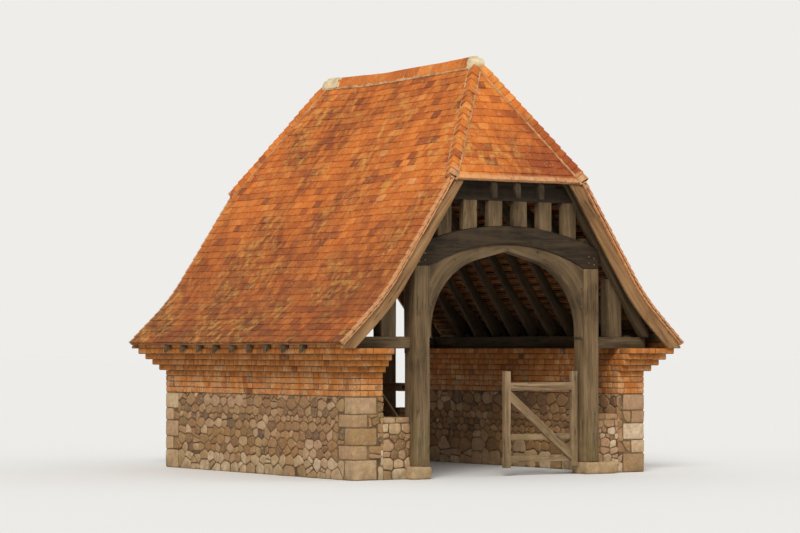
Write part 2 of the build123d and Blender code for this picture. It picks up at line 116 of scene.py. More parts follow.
# Masonry
JOINT = 0.009
BRICK_LENGTH = 0.222
BRICK_DEPTH = 0.104
PLAIN_COURSES = 4
CORBEL_COURSES = 4
STONE_SQUASH = 0.85
STONE_SIDES = 20
STONE_RINGS = ((1.0, -0.6), (1.0, 0.3), (0.97, 0.7), (0.89, 0.94), (0.64, 1.02), (0.3, 1.04))
QUOIN_COURSES = (0.24, 0.17, 0.21, 0.16, 0.204)
QUOIN_REACHES = (0.2, 0.33)
QUOIN_ROUNDING = 0.014
PALE_FOOT = 0.27
COPING_HEIGHT = 0.075
COPING_LENGTHS = (0.15, 0.24)
COPING_LEAST = 0.08
COPING_ROUNDING = 0.016
PADSTONE_ROUNDING = 0.022
MORTAR_DEPTH = 0.016
MORTAR_INSET = MORTAR_DEPTH * 0.65
MORTAR_SPACING = 0.12

# Fastenings: pegs as (distance out, height), nails along a strap, and how far it stands off its gate
TIE_PEGS = ((POST_INNER + 0.07, 2.62), (POST_INNER + 0.07, 2.7),
            (POST_INNER + 0.15, 2.6), (POST_INNER + 0.15, 2.68))
BRACE_PEGS = ((POST_INNER - 0.035, 2.08), (POST_INNER - 0.035, 2.3), (0.78, 2.63), (0.45, 2.74))
TIE_PEG_RADIUS = 0.012
BRACE_PEG_RADIUS = 0.011
NAIL_RADIUS = 0.009
NAIL_PLACES = (0.1, 0.22, 0.36, 0.47)
STRAP_FACE = 0.022

# What the frame measures
roof_low, roof_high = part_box("roof_slope_left")
eave_half = -roof_low.x
ridge_z = roof_high.z
verge = roof_low.y
eave_z = roof_low.z + TILE_LAYER / cos(FLARE_PITCH)
hip_eave_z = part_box("front_hip_slope")[0].z + TILE_LAYER / cos(HIP_PITCH)
hip_half = (ridge_z - hip_eave_z) / tan(MAIN_PITCH)
ridge_end = verge + (ridge_z - hip_eave_z) / tan(HIP_PITCH)
wall_low, wall_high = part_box("side_wall_right")
wall_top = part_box("front_aisle_frames")[0].z


# Materials

def linear(colour):
    """A colour written as 0 to 255 for the screen, as the shader's linear values."""
    parts = [c / 255 for c in colour]
    return tuple(c / 12.92 if c <= 0.04045 else ((c + 0.055) / 1.055) ** 2.4 for c in parts) + (1.0,)


def feed(socket, value):
    """Links another socket to this one, or sets its value."""
    if isinstance(value, bpy.types.NodeSocket):
        socket.id_data.links.new(value, socket)
    else:
        socket.default_value = value


def node(tree, kind, inputs, output=0, **settings):
    """One output of a new shader node."""
    made = tree.nodes.new("ShaderNode" + kind)
    for key, value in settings.items():
        setattr(made, key, value)
    for key, value in inputs.items():
        feed(made.inputs[key], value)
    return made.outputs[output]


class Finish:
    """A material, its colour so far, and short ways to wire its nodes."""

    def __init__(self, name, shade=None):
        self.material = bpy.data.materials.new(name)
        self.material.use_nodes = True
        self.colour = shade and linear(shade)
        self.place = self.node("TexCoord", {}, "Object")

    def node(self, kind, inputs, output=0, **settings):
        return node(self.material.node_tree, kind, inputs, output, **settings)

    def of_each(self):
        """The place on its own surface and the tint of each small shape in a pile."""
        return [self.node("Attribute", {}, output, attribute_name=name)
                for name, output in (("grain", "Vector"), ("tint", "Fac"))]

    def stretch(self, vector, *scale):
        return self.node("Mapping", {"Vector": vector, "Scale": scale})

    def noise(self, vector, scale, detail=5.0, roughness=0.55, distortion=0.0):
        return self.node("TexNoise", {"Vector": vector, "Scale": scale, "Detail": detail,
                                      "Roughness": roughness, "Distortion": distortion}, "Fac")

    def cells(self, vector, scale):
        return self.node("TexVoronoi", {"Vector": vector, "Scale": scale}, "Distance")

    def ramp(self, value, stops):
        colours = self.node("ValToRGB", {"Fac": value}, "Color")
        points = colours.node.color_ramp.elements
        while len(points) < len(stops):
            points.new(0.5)
        for point, (position, shade) in zip(points, stops):
            point.position = position
            point.color = linear(shade)
        return colours

    def band(self, value, low, high, to_low=0.0, to_high=1.0):
        """The value spread from low to high onto 0 to 1, or onto other ends."""
        return self.node("MapRange", {"Value": value, "From Min": low, "From Max": high,
                                      "To Min": to_low, "To Max": to_high}, "Result")

    def patches(self, vector, grit, *ends):
        """A band of noise, whose scale, detail and roughness are its grit."""
        return self.band(self.noise(vector, *grit), *ends)

    def math(self, operation, a, b=0.0):
        return self.node("Math", {0: a, 1: b}, operation=operation)

    def times(self, first, *others):
        for other in others:
            first = self.math("MULTIPLY", first, other)
        return first

    def mix(self, factor, a, b):
        a, b = (v if isinstance(v, bpy.types.NodeSocket) else linear(v) for v in (a, b))
        return self.node("Mix", {0: factor, 6: a, 7: b}, 2, data_type="RGBA")

    def over(self, shade, *factors):
        """Lays a shade over the colour so far, as strongly as the product of the factors."""
        self.colour = self.mix(self.times(*factors), self.colour, shade)

    def near(self, centre, reach):
        """One at a point of the building, falling to nothing this far away."""
        away = self.node("VectorMath", {0: self.place, 1: centre}, "Value", operation="DISTANCE")
        return self.band(away, reach, reach * 0.35)

    def axis(self, name):
        return self.node("SeparateXYZ", {0: self.place}, name)

    def finish(self, roughness, bumps=()):
        """Sets the surface: its colour, its roughness and bumps as (height, depth in metres)."""
        surface = {"Base Color": self.colour, "Roughness": roughness, "Specular IOR Level": 0.3}
        for value, depth in bumps:
            bump = {"Height": value, "Distance": depth, "Strength": 1.0}
            if "Normal" in surface:
                bump["Normal"] = surface["Normal"]
            surface["Normal"] = self.node("Bump", bump)
        for key, value in surface.items():
            feed(self.material.node_tree.nodes["Principled BSDF"].inputs[key], value)
        return self.material


def oak(name, pale, deep, green, silvering=0.4):
    """Weathered oak: fibres along the grain, silvered patches, drying cracks and some algae.

    pale and deep are the ramps of a light and of a dark timber, between which each one's tint chooses."""
    paint = Finish(name)
    grain, tint = paint.of_each()
    broad = paint.noise(paint.stretch(grain, 0.7, 9, 9), 1.6, 5)
    fibre = paint.noise(paint.stretch(grain, 1.5, 60, 60), 2.4, 8, 0.7)
    fine = paint.noise(paint.stretch(grain, 6, 260, 260), 2.0, 4, 0.7)
    body = paint.math("ADD", paint.times(broad, 0.5), paint.times(fibre, 0.5))
    dark, light = (paint.ramp(body, list(zip((0.36, 0.48, 0.6), shades))) for shades in (deep, pale))
    paint.colour = paint.mix(tint, dark, light)
    silver = paint.patches(paint.stretch(grain, 0.5, 3.2, 3.2), (1.5, 5, 0.6), 0.5, 0.66, 0, silvering)
    paint.over(pale[2], silver, tint)
    paint.over(deep[1], paint.patches(paint.place, (1.7, 5, 0.6), 0.52, 0.7, 0, 0.45))
    line = paint.noise(paint.stretch(grain, 0.9, 26, 26), 1.3, 3, 0.5, 0.4)
    crack = paint.band(paint.math("ABSOLUTE", paint.math("SUBTRACT", line, 0.5)), 0.0, 0.02, 1, 0)
    crack = paint.times(crack, paint.patches(grain, (1.7, 2), 0.48, 0.56))
    paint.over((30, 23, 17), crack, 0.85)
    low = paint.math("ADD", paint.band(paint.axis("Z"), 0.9, 0.1), 0.15)
    paint.over(green, low, paint.patches(paint.place, (9, 6), 0.42, 0.7), 0.75)
    bumps = [(fibre, 0.0024), (fine, 0.0006), (paint.math("SUBTRACT", 1.0, crack), 0.004)]
    return paint.finish(paint.band(fibre, 0.3, 0.7, 0.78, 0.95), bumps)


# Darkened, reddened and lichened places on the roof and the left corner: a middle and a reach. The darkened
# places low on the left slope are painted shade of a tree, with some damp; the two higher ones are darker
# patches near the ridge and at the foot of the front hip.
STAINS_AND_SHADE = (((-0.55, 0.95, 4.35), 0.85), ((0.6, -2.45, 3.75), 1.0), ((-1.6, 0.6, 2.75), 1.5),
          ((-1.9, -1.7, 2.3), 1.1), ((-2.1, 1.6, 2.1), 1.2), ((-2.4, 0.2, 1.8), 1.3),
          ((-2.45, -1.6, 1.75), 1.0), ((-2.45, 2.2, 1.75), 1.1))
REDDENED = ((0.95, -2.5, 3.75), 1.15)
LICHEN = (((-0.7, -2.4, 3.7), 0.5), ((-0.75, -1.9, 4.0), 0.45), ((-0.4, 1.5, 4.7), 0.6))
QUOIN_LICHEN = ((-2.0, -2.3, 0.75), 0.8)


def clay_tile():
    """Handmade plain tiles: fired from orange to brown, with damp stains, moss and yellow lichen, and painted
    shade that darkens the lower roof, most of all on the left.
    """
    paint = Finish("clay_tile")
    own, tint = paint.of_each()
    place = paint.place
    paint.colour = paint.ramp(tint, [(0.0, (138, 70, 34)), (0.16, (168, 86, 36)), (0.42, (198, 106, 38)),
                                     (0.68, (212, 120, 46)), (0.88, (222, 136, 62)), (1.0, (220, 148, 88))])
    mottle = paint.noise(own, 34, 6, 0.6)
    paint.over((164, 86, 38), paint.band(mottle, 0.42, 0.72, 0, 0.5))
    paint.over((234, 164, 104), paint.patches(own, (12, 5, 0.6), 0.55, 0.75, 0, 0.45))
    # Darkening from noise and the darkened places: stains, and low on the left slope painted shade of a tree.
    stain_and_shade = paint.noise(place, 0.8, 4, 0.6)
    for stain in STAINS_AND_SHADE:
        stain_and_shade = paint.math("ADD", stain_and_shade, paint.times(paint.near(*stain), 0.16))
    streak = paint.patches(paint.stretch(place, 3.4, 3.4, 0.9), (2.2, 6, 0.65), 0.36, 0.6)
    paint.over((112, 54, 26), paint.band(stain_and_shade, 0.46, 0.64), streak, 0.7)
    red = paint.patches(place, (3.1, 6, 0.62), 0.38, 0.6, 0.35, 0.85)
    paint.over((138, 62, 30), paint.near(*REDDENED), red)
    # Darker towards the eaves: partly damp staining, partly painted shade of a tree over the lower roof.
    damp = paint.patches(place, (1.4, 6, 0.65), 0.3, 0.58)
    paint.over((96, 56, 30), paint.band(paint.axis("Z"), 3.6, 1.6), damp, 0.72)
    tufts = paint.patches(place, (30, 7, 0.75), 0.56, 0.66)
    moss = paint.times(tufts, paint.patches(place, (1.2, 3), 0.48, 0.6))
    paint.over((78, 70, 34), moss, 0.8)
    where = paint.patches(place, (1.5, 4), 0.47, 0.6)
    for spot in LICHEN:
        where = paint.math("MAXIMUM", where, paint.near(*spot))
    bloom = paint.times(paint.patches(place, (9, 6, 0.6), 0.48, 0.64), where)
    paint.over((216, 172, 88), bloom, 0.45)
    spots = paint.math("ADD", paint.cells(place, 21), paint.times(paint.noise(place, 70, 4), 0.4))
    where = paint.patches(place, (1.1, 3), 0.46, 0.58)
    paint.over((196, 176, 134), paint.band(spots, 0.42, 0.34), where, 0.42)
    edge = paint.band(paint.math("ABSOLUTE", paint.axis("Y")), -verge - 0.05, -verge - 0.028)
    paint.over((208, 158, 112), edge, paint.patches(place, (17, 6, 0.7), 0.34, 0.56, 0.2, 0.8))
    growth = paint.math("MAXIMUM", moss, bloom)
    bumps = [(mottle, 0.002), (paint.noise(own, 260, 3, 0.6), 0.0006), (growth, 0.0015)]
    return paint.finish(paint.band(mottle, 0.3, 0.7, 0.75, 0.93), bumps)


def stone():
    """Rubble in cream, buff, pink and brown, with lichen and darker damp near the ground."""
    paint = Finish("rubble_stone")
    own, tint = paint.of_each()
    place = paint.place
    paint.colour = paint.ramp(tint, [(0.0, (92, 76, 62)), (0.14, (118, 88, 62)), (0.3, (146, 108, 72)),
                                     (0.46, (160, 126, 88)), (0.62, (176, 142, 112)), (0.8, (194, 166, 130)),
                                     (1.0, (212, 190, 160))])
    mottle = paint.noise(own, 15, 8, 0.68)
    paint.over((134, 100, 70), paint.band(mottle, 0.38, 0.66, 0, 0.6))
    pale = paint.noise(own, 38, 6, 0.65)
    paint.over((206, 184, 154), paint.band(pale, 0.54, 0.7, 0, 0.5))
    paint.over((78, 60, 46), paint.band(paint.cells(own, 120), 0.16, 0.1), 0.5)
    paint.over((150, 104, 62), paint.patches(place, (0.9, 5, 0.6), 0.5, 0.64, 0, 0.45))
    where = paint.math("MAXIMUM", paint.patches(place, (1.7, 3), 0.46, 0.6), paint.near(*QUOIN_LICHEN))
    paint.over((150, 136, 74), paint.patches(place, (21, 7, 0.72), 0.5, 0.62), where, 0.6)
    damp = paint.patches(place, (6, 5), 0.35, 0.62)
    paint.over((96, 88, 54), paint.band(paint.axis("Z"), 0.3, 0.0), damp, 0.5)
    bumps = [(mottle, 0.009), (pale, 0.003), (paint.noise(own, 130, 5, 0.7), 0.0016)]
    return paint.finish(paint.band(mottle, 0.3, 0.7, 0.8, 0.96), bumps)


def mortar(name, *shades):
    """Lime mortar, sandy and pitted, from the darkest shade to the lightest."""
    paint = Finish(name)
    sand = paint.noise(paint.place, 190, 4, 0.7)
    broad = paint.noise(paint.place, 7, 6, 0.6)
    paint.colour = paint.ramp(broad, list(zip((0.32, 0.5, 0.68), shades)))
    paint.over(shades[0], paint.band(sand, 0.4, 0.65, 0, 0.4))
    return paint.finish(0.95, [(broad, 0.006), (sand, 0.0016)])


def brick():
    """Soft orange bricks, some pinkish and some burnt, with lime bloom that thickens lower down."""
    paint = Finish("brick")
    own, tint = paint.of_each()
    paint.colour = paint.ramp(tint, [(0.0, (98, 56, 30)), (0.12, (142, 80, 34)), (0.4, (176, 102, 38)),
                                     (0.7, (190, 116, 46)), (0.88, (194, 126, 64)), (1.0, (202, 142, 84))])
    mottle = paint.noise(own, 26, 6, 0.65)
    paint.over((150, 90, 44), paint.band(mottle, 0.4, 0.7, 0, 0.5))
    low = paint.times(paint.band(paint.axis("Z"), 1.34, 1.16), 0.09)
    lime = paint.band(paint.math("ADD", paint.noise(paint.place, 5, 6, 0.65), low), 0.5, 0.66)
    paint.over((206, 176, 134), lime, paint.patches(own, (50, 4), 0.36, 0.6), 0.6)
    pits = paint.band(paint.cells(own, 95), 0.2, 0.1)
    paint.over((98, 60, 36), pits, 0.45)
    unpitted = paint.math("SUBTRACT", 1.0, pits)
    bumps = [(mottle, 0.0026), (unpitted, 0.0015), (paint.noise(own, 230, 3), 0.0006)]
    return paint.finish(paint.band(mottle, 0.3, 0.7, 0.8, 0.95), bumps)


def iron():
    """Old black ironwork with rust coming through."""
    paint = Finish("iron")
    blotch = paint.noise(paint.place, 34, 6, 0.65)
    paint.colour = paint.ramp(blotch, [(0.4, (40, 35, 32)), (0.55, (64, 46, 36)), (0.72, (112, 62, 36))])
    paint.material.node_tree.nodes["Principled BSDF"].inputs["Metallic"].default_value = 0.35
    fine = paint.noise(paint.place, 260, 4, 0.6)
    return paint.finish(paint.band(blotch, 0.35, 0.7, 0.55, 0.9), [(blotch, 0.001), (fine, 0.0004)])


# Each look is a material and the record's slot for it
# The deep ramp of weathered_oak runs down to near black; the collars, hip plates and hip rafters use its
# darkest end as painted shade under the hip eaves.
OAK = oak("weathered_oak", ((78, 60, 40), (120, 96, 66), (148, 124, 92)),
          ((18, 12, 8), (34, 23, 15), (52, 38, 25)), (98, 88, 46)), "oak"
BOARD_OAK = oak("bargeboard_oak", ((112, 78, 48), (152, 112, 72), (178, 140, 98)),
                ((70, 48, 30), (104, 74, 46), (130, 98, 64)), (112, 98, 46), 0.25), "oak"
GATE_OAK = oak("gate_oak", ((98, 76, 54), (138, 112, 82), (168, 142, 110)),
               ((58, 44, 32), (92, 72, 52), (118, 96, 72)), (110, 98, 58), 0.3), "gate_oak"
TILE = clay_tile(), "clay_tile"
STONE = stone(), "rubble_stone"
MORTAR = mortar("lime_mortar", (76, 58, 40), (112, 90, 62), (142, 120, 88)), "rubble_stone"
BEDDING = mortar("roof_bedding", (150, 104, 68), (192, 144, 100), (214, 172, 128)), "rubble_stone"
POINTING = mortar("fresh_mortar", (170, 152, 118), (214, 196, 158), (232, 218, 186)), "rubble_stone"
BRICK = brick(), "brick"
IRON = iron(), "iron"


# Meshes

def put(name, data):
    """A new object in the scene."""
    made = bpy.data.objects.new(name, data)
    bpy.context.scene.collection.objects.link(made)
    return made


def volume(points, groups):
    """Six times the volume inside a shape: above zero where its faces look outwards."""
    local = points - points.mean(0)
    total = 0.0
    for rows in groups:
        corners = local[rows]
        for i in range(1, rows.shape[1] - 1):
            total += (corners[:, 0] * np.cross(corners[:, i], corners[:, i + 1])).sum()
    return total


class Pile:
    """Many small shapes joined into one piece, each with its own tint and its own grain."""

    def __init__(self, on_roof=False):
        self.points, self.tints, self.grains = [], [], []
        self.faces = {}
        self.count = 0
        self.on_roof = on_roof

    def add(self, points, faces, tint=0.5, grain=None):
        """Adds a shape, or several at once where points has one row of points for each."""
        points = np.asarray(points, float)
        points = points[None] if points.ndim == 2 else points
        shapes, size, _ = points.shape
        if shapes == 0:
            return
        grain = points if grain is None else np.broadcast_to(grain, points.shape)
        tints = np.broadcast_to(np.asarray(tint, float).reshape(-1, 1), (shapes, size))
        starts = self.count + size * np.arange(shapes)
        groups = [np.array([face for face in faces if len(face) == sides])
                  for sides in sorted({len(face) for face in faces})]
        turn = 1 if volume(points[0], groups) > 0 else -1
        for same in groups:
            sides = same.shape[1]
            rows = same[None, :, ::turn] + starts[:, None, None]
            self.faces.setdefault(sides, []).append(rows.reshape(-1, sides))
        self.points.append(points.reshape(-1, 3))
        self.grains.append(grain.reshape(-1, 3))
        self.tints.append(tints.reshape(-1))
        self.count += shapes * size

    def add_rough(self, shape, *waves):
        """Adds a shape whose points smooth noise has moved."""
        points, faces = shape
        self.add(wobble(points, *waves), faces)

    def add_own(self, points, faces, tint, random, spread=9):
        """Adds a shape whose texture starts at a place of its own."""
        self.add(points, faces, tint, points + random.uniform(-spread, spread, 3))

    def build(self, name, look, body="lychgate", smooth=40, stands_for=None):
        """Makes the joined mesh and gives it to its body, in place of a node of the frame if one is named."""
        points = np.concatenate(self.points)
        points = np.clip(settled(points) if self.on_roof else points, *cad_box)
        groups = [np.concatenate(rows) for _, rows in sorted(self.faces.items())]
        loops = np.concatenate([rows.reshape(-1) for rows in groups])
        sizes = np.concatenate([np.full(len(rows), rows.shape[1]) for rows in groups])
        mesh = bpy.data.meshes.new(name)
        for part, field, values, kind in ((mesh.vertices, "co", points, np.float32),
                                          (mesh.loops, "vertex_index", loops, np.int32),
                                          (mesh.polygons, "loop_start", np.cumsum(sizes) - sizes, np.int32)):
            part.add(len(values))
            part.foreach_set(field, values.astype(kind).reshape(-1))
        mesh.update(calc_edges=True)
        mesh.validate()
        for key, kind, field, values in (("tint", "FLOAT", "value", self.tints),
                                         ("grain", "FLOAT_VECTOR", "vector", self.grains)):
            layer = mesh.attributes.new(key, kind, "POINT")
            layer.data.foreach_set(field, np.concatenate(values).astype(np.float32).reshape(-1))
        mesh.materials.append(look[0])
        mesh.shade_smooth()
        mesh.set_sharp_from_angle(angle=radians(smooth))
        piece = put(name, mesh)
        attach(piece, body)
        if stands_for:
            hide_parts(stands_for)


def tinted(random, middle, spread):
    """A tint from 0 to 1, mostly within the spread about the middle."""
    return np.clip(random.normal(middle, spread), 0, 1)


def grid_faces(rows, columns, start=0, closed=False):
    """Quads between rows of points, each row having this many columns."""
    faces = []
    for row in range(rows - 1):
        for column in range(columns if closed else columns - 1):
            a = start + row * columns + column
            b = start + row * columns + (column + 1) % columns
            faces.append((a, b, b + columns, a + columns))
    return faces


def tube_faces(rows, sides):
    """The faces of a closed tube of rings of points, with its two ends."""
    last = (rows - 1) * sides
    ends = [tuple(range(sides))[::-1], tuple(range(last, last + sides))]
    return grid_faces(rows, sides, closed=True) + ends


def plate_faces(rows, columns):
    """The quads of a plate that has its upper points in rows and then its lower ones, with its rim."""
    under = rows * columns
    ring = [(0, c) for c in range(columns)] + [(r, columns - 1) for r in range(1, rows)]
    ring += [(rows - 1, c) for c in range(columns - 2, -1, -1)] + [(r, 0) for r in range(rows - 2, 0, -1)]
    ring = [r * columns + c for r, c in ring]
    return ([face[::-1] for face in grid_faces(rows, columns)] + grid_faces(rows, columns, under)
            + [(a, b, b + under, a + under) for a, b in zip(ring, ring[1:] + ring[:1])])


@lru_cache(None)
def cube_grid(cuts):
    """The whole-number places of the points on a cube's faces, and its quads.

    The middle of each face has this many spans, and there is one more along each edge."""
    last = cuts + 2
    index, faces = {}, []
    for axis in range(3):
        for side in (0, last):
            for i in range(last):
                for j in range(last):
                    corners = []
                    for di, dj in ((0, 0), (1, 0), (1, 1), (0, 1)):
                        key = [0, 0, 0]
                        key[axis], key[(axis + 1) % 3], key[(axis + 2) % 3] = side, i + di, j + dj
                        corners.append(index.setdefault(tuple(key), len(index)))
                    faces.append(tuple(corners if side else corners[::-1]))
    return np.array(list(index)), faces


def soft_box(size, rounding, cuts):
    """A box of this size about its middle, with rounded edges: points and quads."""
    keys, faces = cube_grid(cuts)
    last = cuts + 2
    points = np.zeros((len(keys), 3))
    half = np.asarray(size, float) / 2
    round_by = np.minimum(rounding, half * 0.6)
    for axis in range(3):
        inner = half[axis] - round_by[axis]
        line = np.concatenate([[-half[axis]], np.linspace(-inner, inner, last - 1), [half[axis]]])
        points[:, axis] = line[keys[:, axis]]
    outer = (keys == 0) | (keys == last)
    pull = np.array((0, 0, 0.3, 0.42))[outer.sum(1)]
    return points - np.sign(points) * outer * pull[:, None] * round_by, faces


def wobble(points, *waves):
    """The points moved about by smooth noise. Each wave is a length and a reach in metres, and a seed."""
    for scale, amount, seed in waves:
        shift = Vector((seed * 7.31, seed * 3.17, seed * 5.73))
        points = points + np.array([noise.noise_vector(Vector(p) / scale + shift) * amount for p in points])
    return points


def solid_parts(name):
    """The separate solids of a node of the frame, as points and clean polygons."""
    work = bmesh.new()
    work.from_mesh(nodes[name].data)
    bmesh.ops.remove_doubles(work, verts=work.verts, dist=1e-5)
    bmesh.ops.dissolve_limit(work, angle_limit=radians(0.5), verts=work.verts, edges=work.edges)
    left = set(work.verts)
    parts = []
    while left:
        edge = [left.pop()]
        group = set(edge)
        while edge:
            edge = list({e.other_vert(v) for v in edge for e in v.link_edges} - group)
            group.update(edge)
        left -= group
        group = sorted(group, key=lambda v: v.index)
        number = {v: i for i, v in enumerate(group)}
        faces = [[number[v] for v in f.verts] for f in work.faces if f.verts[0] in number]
        parts.append((np.array([v.co for v in group]), faces))
    work.free()
    return sorted(parts, key=lambda part: tuple(part[0].mean(0).round(3)))


def opened(points, faces, own):
    """A shape as a bmesh, and the layer that holds its own coordinates."""
    work = bmesh.new()
    layer = work.verts.layers.float_vector.new("own")
    verts = [work.verts.new(p) for p in points]
    for v, value in zip(verts, own):
        v[layer] = Vector(value)
    for face in faces:
        work.faces.new([verts[i] for i in face])
    return work, layer


def bisect(work, origin, normal, nearness, clear=False):
    geometry = work.verts[:] + work.edges[:] + work.faces[:]
    return bmesh.ops.bisect_plane(work, geom=geometry, dist=nearness, plane_co=origin, plane_no=normal,
                                  clear_inner=clear)["geom_cut"]


def worn(points, faces, step, edge, wander, seed):
    """A timber with softened arrises and slightly uneven faces, cut into short lengths."""
    spread = points - points.mean(0)
    values, vectors = np.linalg.eigh(spread.T @ spread)
    axes = vectors[:, np.argsort(values)[::-1]].T
    low, high = ((points @ axes[0]).min(), (points @ axes[0]).max())
    work, _ = opened(points, faces, points)
    spans = max(2, round((high - low) / step))
    for i in range(1, spans):
        bisect(work, axes[0] * (low + (high - low) * i / spans), axes[0], 1e-5)
    for v in work.verts:
        v.co = wobble(np.array([v.co]), (0.7, wander, seed), (0.16, wander * 0.35, seed + 1))[0]
    mesh = bpy.data.meshes.new("timber")
    work.to_mesh(mesh)
    work.free()
    piece = put("timber", mesh)
    bevel = piece.modifiers.new("arris", "BEVEL")
    bevel.width = edge
    bevel.segments = 2
    bevel.limit_method = "ANGLE"
    bevel.angle_limit = radians(38)
    done = bpy.data.meshes.new_from_object(piece.evaluated_get(bpy.context.evaluated_depsgraph_get()))
    new_points = np.array([v.co for v in done.vertices])
    new_faces = [tuple(face.vertices) for face in done.polygons]
    bpy.data.objects.remove(piece)
    bpy.data.meshes.remove(mesh)
    bpy.data.meshes.remove(done)
    return new_points, new_faces, (new_points - points.mean(0)) @ axes.T


def cut(points, faces, planes, own):
    """What is left of a shape on the near side of the planes, closed again where it was cut."""
    work, layer = opened(points, faces, own)
    for origin, normal in planes:
        edges = [e for e in bisect(work, origin, normal, 1e-6, True) if isinstance(e, bmesh.types.BMEdge)]
        if edges:
            bmesh.ops.holes_fill(work, edges=edges)
    work.verts.index_update()
    new_points, new_own = (np.array(rows) for rows in zip(*[(v.co, v[layer]) for v in work.verts]))
    new_faces = [tuple(v.index for v in f.verts) for f in work.faces]
    work.free()
    return new_points, new_faces, new_own


def bent_grain(points):
    """Coordinates along and across an arch brace: up its leg, round its corner and on to the crown."""
    low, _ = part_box("front_arch_brace_left")
    x = np.abs(points[:, 0]) + low.x + ARCH_SHOULDER + ARCH_RADIUS
    z = points[:, 2] - low.z - ARCH_SPRING_RISE
    turn = np.arctan2(z, x)
    over = turn > ARCH_TURN
    straight = ARCH_RADIUS * ARCH_TURN - x * sin(ARCH_TURN) + z * cos(ARCH_TURN)
    beyond = x * cos(ARCH_TURN) + z * sin(ARCH_TURN)
    along = np.where(z < 0, z, np.where(over, straight, ARCH_RADIUS * turn))
    across = np.where(z < 0, x, np.where(over, beyond, np.hypot(x, z)))
    return np.stack([along, across, points[:, 1]], -1)


def timbers(name, look, tone, step, edge, wander, seed, body="lychgate", grain=None, joint=None):
    """Stands in for a node's oak members with worn ones of the same size.

    tone is the range from which each takes its tint, and joint a height at which a member is two."""
    random = np.random.default_rng(seed)
    pile = Pile()
    parts = solid_parts(name)
    if joint is not None:
        halves = [((0, 0, joint + way * JOINT_LINE), (0, 0, way)) for way in (-1.0, 1.0)]
        parts = [cut(*part, [half], part[0])[:2] for part in parts for half in halves]
    for points, faces in parts:
        new_points, new_faces, local = worn(points, faces, step, edge, wander, seed)
        local = grain(new_points) if grain else local
        offset = random.uniform(-40, 40, 3)
        pile.add(new_points, new_faces, random.uniform(*tone), local + offset)
        seed += 3
    pile.build(f"worn_{name}", look, body, 50, name)


# The roof

def flare_points():
    """Where the roof's straight foot, curve and main slope meet, as distances from the middle and heights."""
    top = ridge_z + FLARE_RADIUS / cos(MAIN_PITCH)
    foot = eave_z + FLARE_RADIUS / cos(FLARE_PITCH) + tan(FLARE_PITCH) * eave_half
    x = (top - foot) / (tan(MAIN_PITCH) - tan(FLARE_PITCH))
    z = top - tan(MAIN_PITCH) * x
    return [(x - FLARE_RADIUS * sin(p), z - FLARE_RADIUS * cos(p)) for p in (FLARE_PITCH, MAIN_PITCH)]


FOOT_END, MAIN_START = flare_points()
FOOT_LENGTH = dist((eave_half, eave_z), FOOT_END)
CURVE_LENGTH = FLARE_RADIUS * (MAIN_PITCH - FLARE_PITCH)
SLOPE_LENGTH = FOOT_LENGTH + CURVE_LENGTH + dist(MAIN_START, (0, ridge_z))
HIP_LENGTH = (ridge_z - hip_eave_z) / sin(HIP_PITCH)


def on_slope(s, across, height, side):
    """Points of a main slope: s up it from the eave, across it along Y, and out from its face."""
    s, across, height = np.broadcast_arrays(np.asarray(s, float), across, height)
    pitch = FLARE_PITCH + np.clip((s - FOOT_LENGTH) / FLARE_RADIUS, 0, MAIN_PITCH - FLARE_PITCH)
    foot = np.minimum(s, FOOT_LENGTH)
    rest = np.maximum(s - FOOT_LENGTH - CURVE_LENGTH, 0)
    x = eave_half - cos(FLARE_PITCH) * foot - FLARE_RADIUS * (np.sin(pitch) - sin(FLARE_PITCH))
    z = eave_z + sin(FLARE_PITCH) * foot + FLARE_RADIUS * (cos(FLARE_PITCH) - np.cos(pitch))
    x = x - cos(MAIN_PITCH) * rest + height * np.sin(pitch)
    z = z + sin(MAIN_PITCH) * rest + height * np.cos(pitch)
    return np.stack([side * x, across, z], -1)


def on_hip(s, across, height, end):
    """Points of a half-hip: s up it from its eave, across it along X, and out from its face."""
    s, across, height = np.broadcast_arrays(np.asarray(s, float), across, height)
    y = verge + cos(HIP_PITCH) * s - height * sin(HIP_PITCH)
    z = hip_eave_z + sin(HIP_PITCH) * s + height * cos(HIP_PITCH)
    return np.stack([across, -end * y, z], -1)


def settled(points):
    """The slow waves of an old roof, and the sag of its ridge."""
    x, y, z = points.T
    up = np.clip((z - eave_z) / (ridge_z - eave_z), 0, 1)
    sag = RIDGE_SAG * up ** 1.5 * np.clip(1 - (y / ridge_end) ** 2, 0, 1)
    wave = 0.006 * np.sin(2.3 * y + 1.1 * x + 0.4) * np.sin(1.9 * z + 0.8 * x + 1.7)
    wave += 0.003 * np.sin(5.1 * y - 2.2 * x) * np.sin(4.3 * z + 0.6)
    return np.stack([x, y, z - sag + wave * np.clip((-verge - np.abs(y)) / 0.5, 0, 1)], -1)


def hip_plane(side, end):
    """The upright plane through a hip line as a point and a direction that faces the main slope."""
    foot = Vector((side * hip_half, -end * verge, hip_eave_z))
    top = Vector((0, -end * ridge_end, ridge_z))
    inner_z = ridge_z - TILE_LAYER / cos(MAIN_PITCH)
    inner_y = verge + (inner_z - hip_eave_z + TILE_LAYER / cos(HIP_PITCH)) / tan(HIP_PITCH)
    normal = (top - foot).cross(Vector((0, -end * inner_y, inner_z)) - foot).normalized()
    return np.array(foot), np.array(-normal if normal.y * end > 0 else normal)


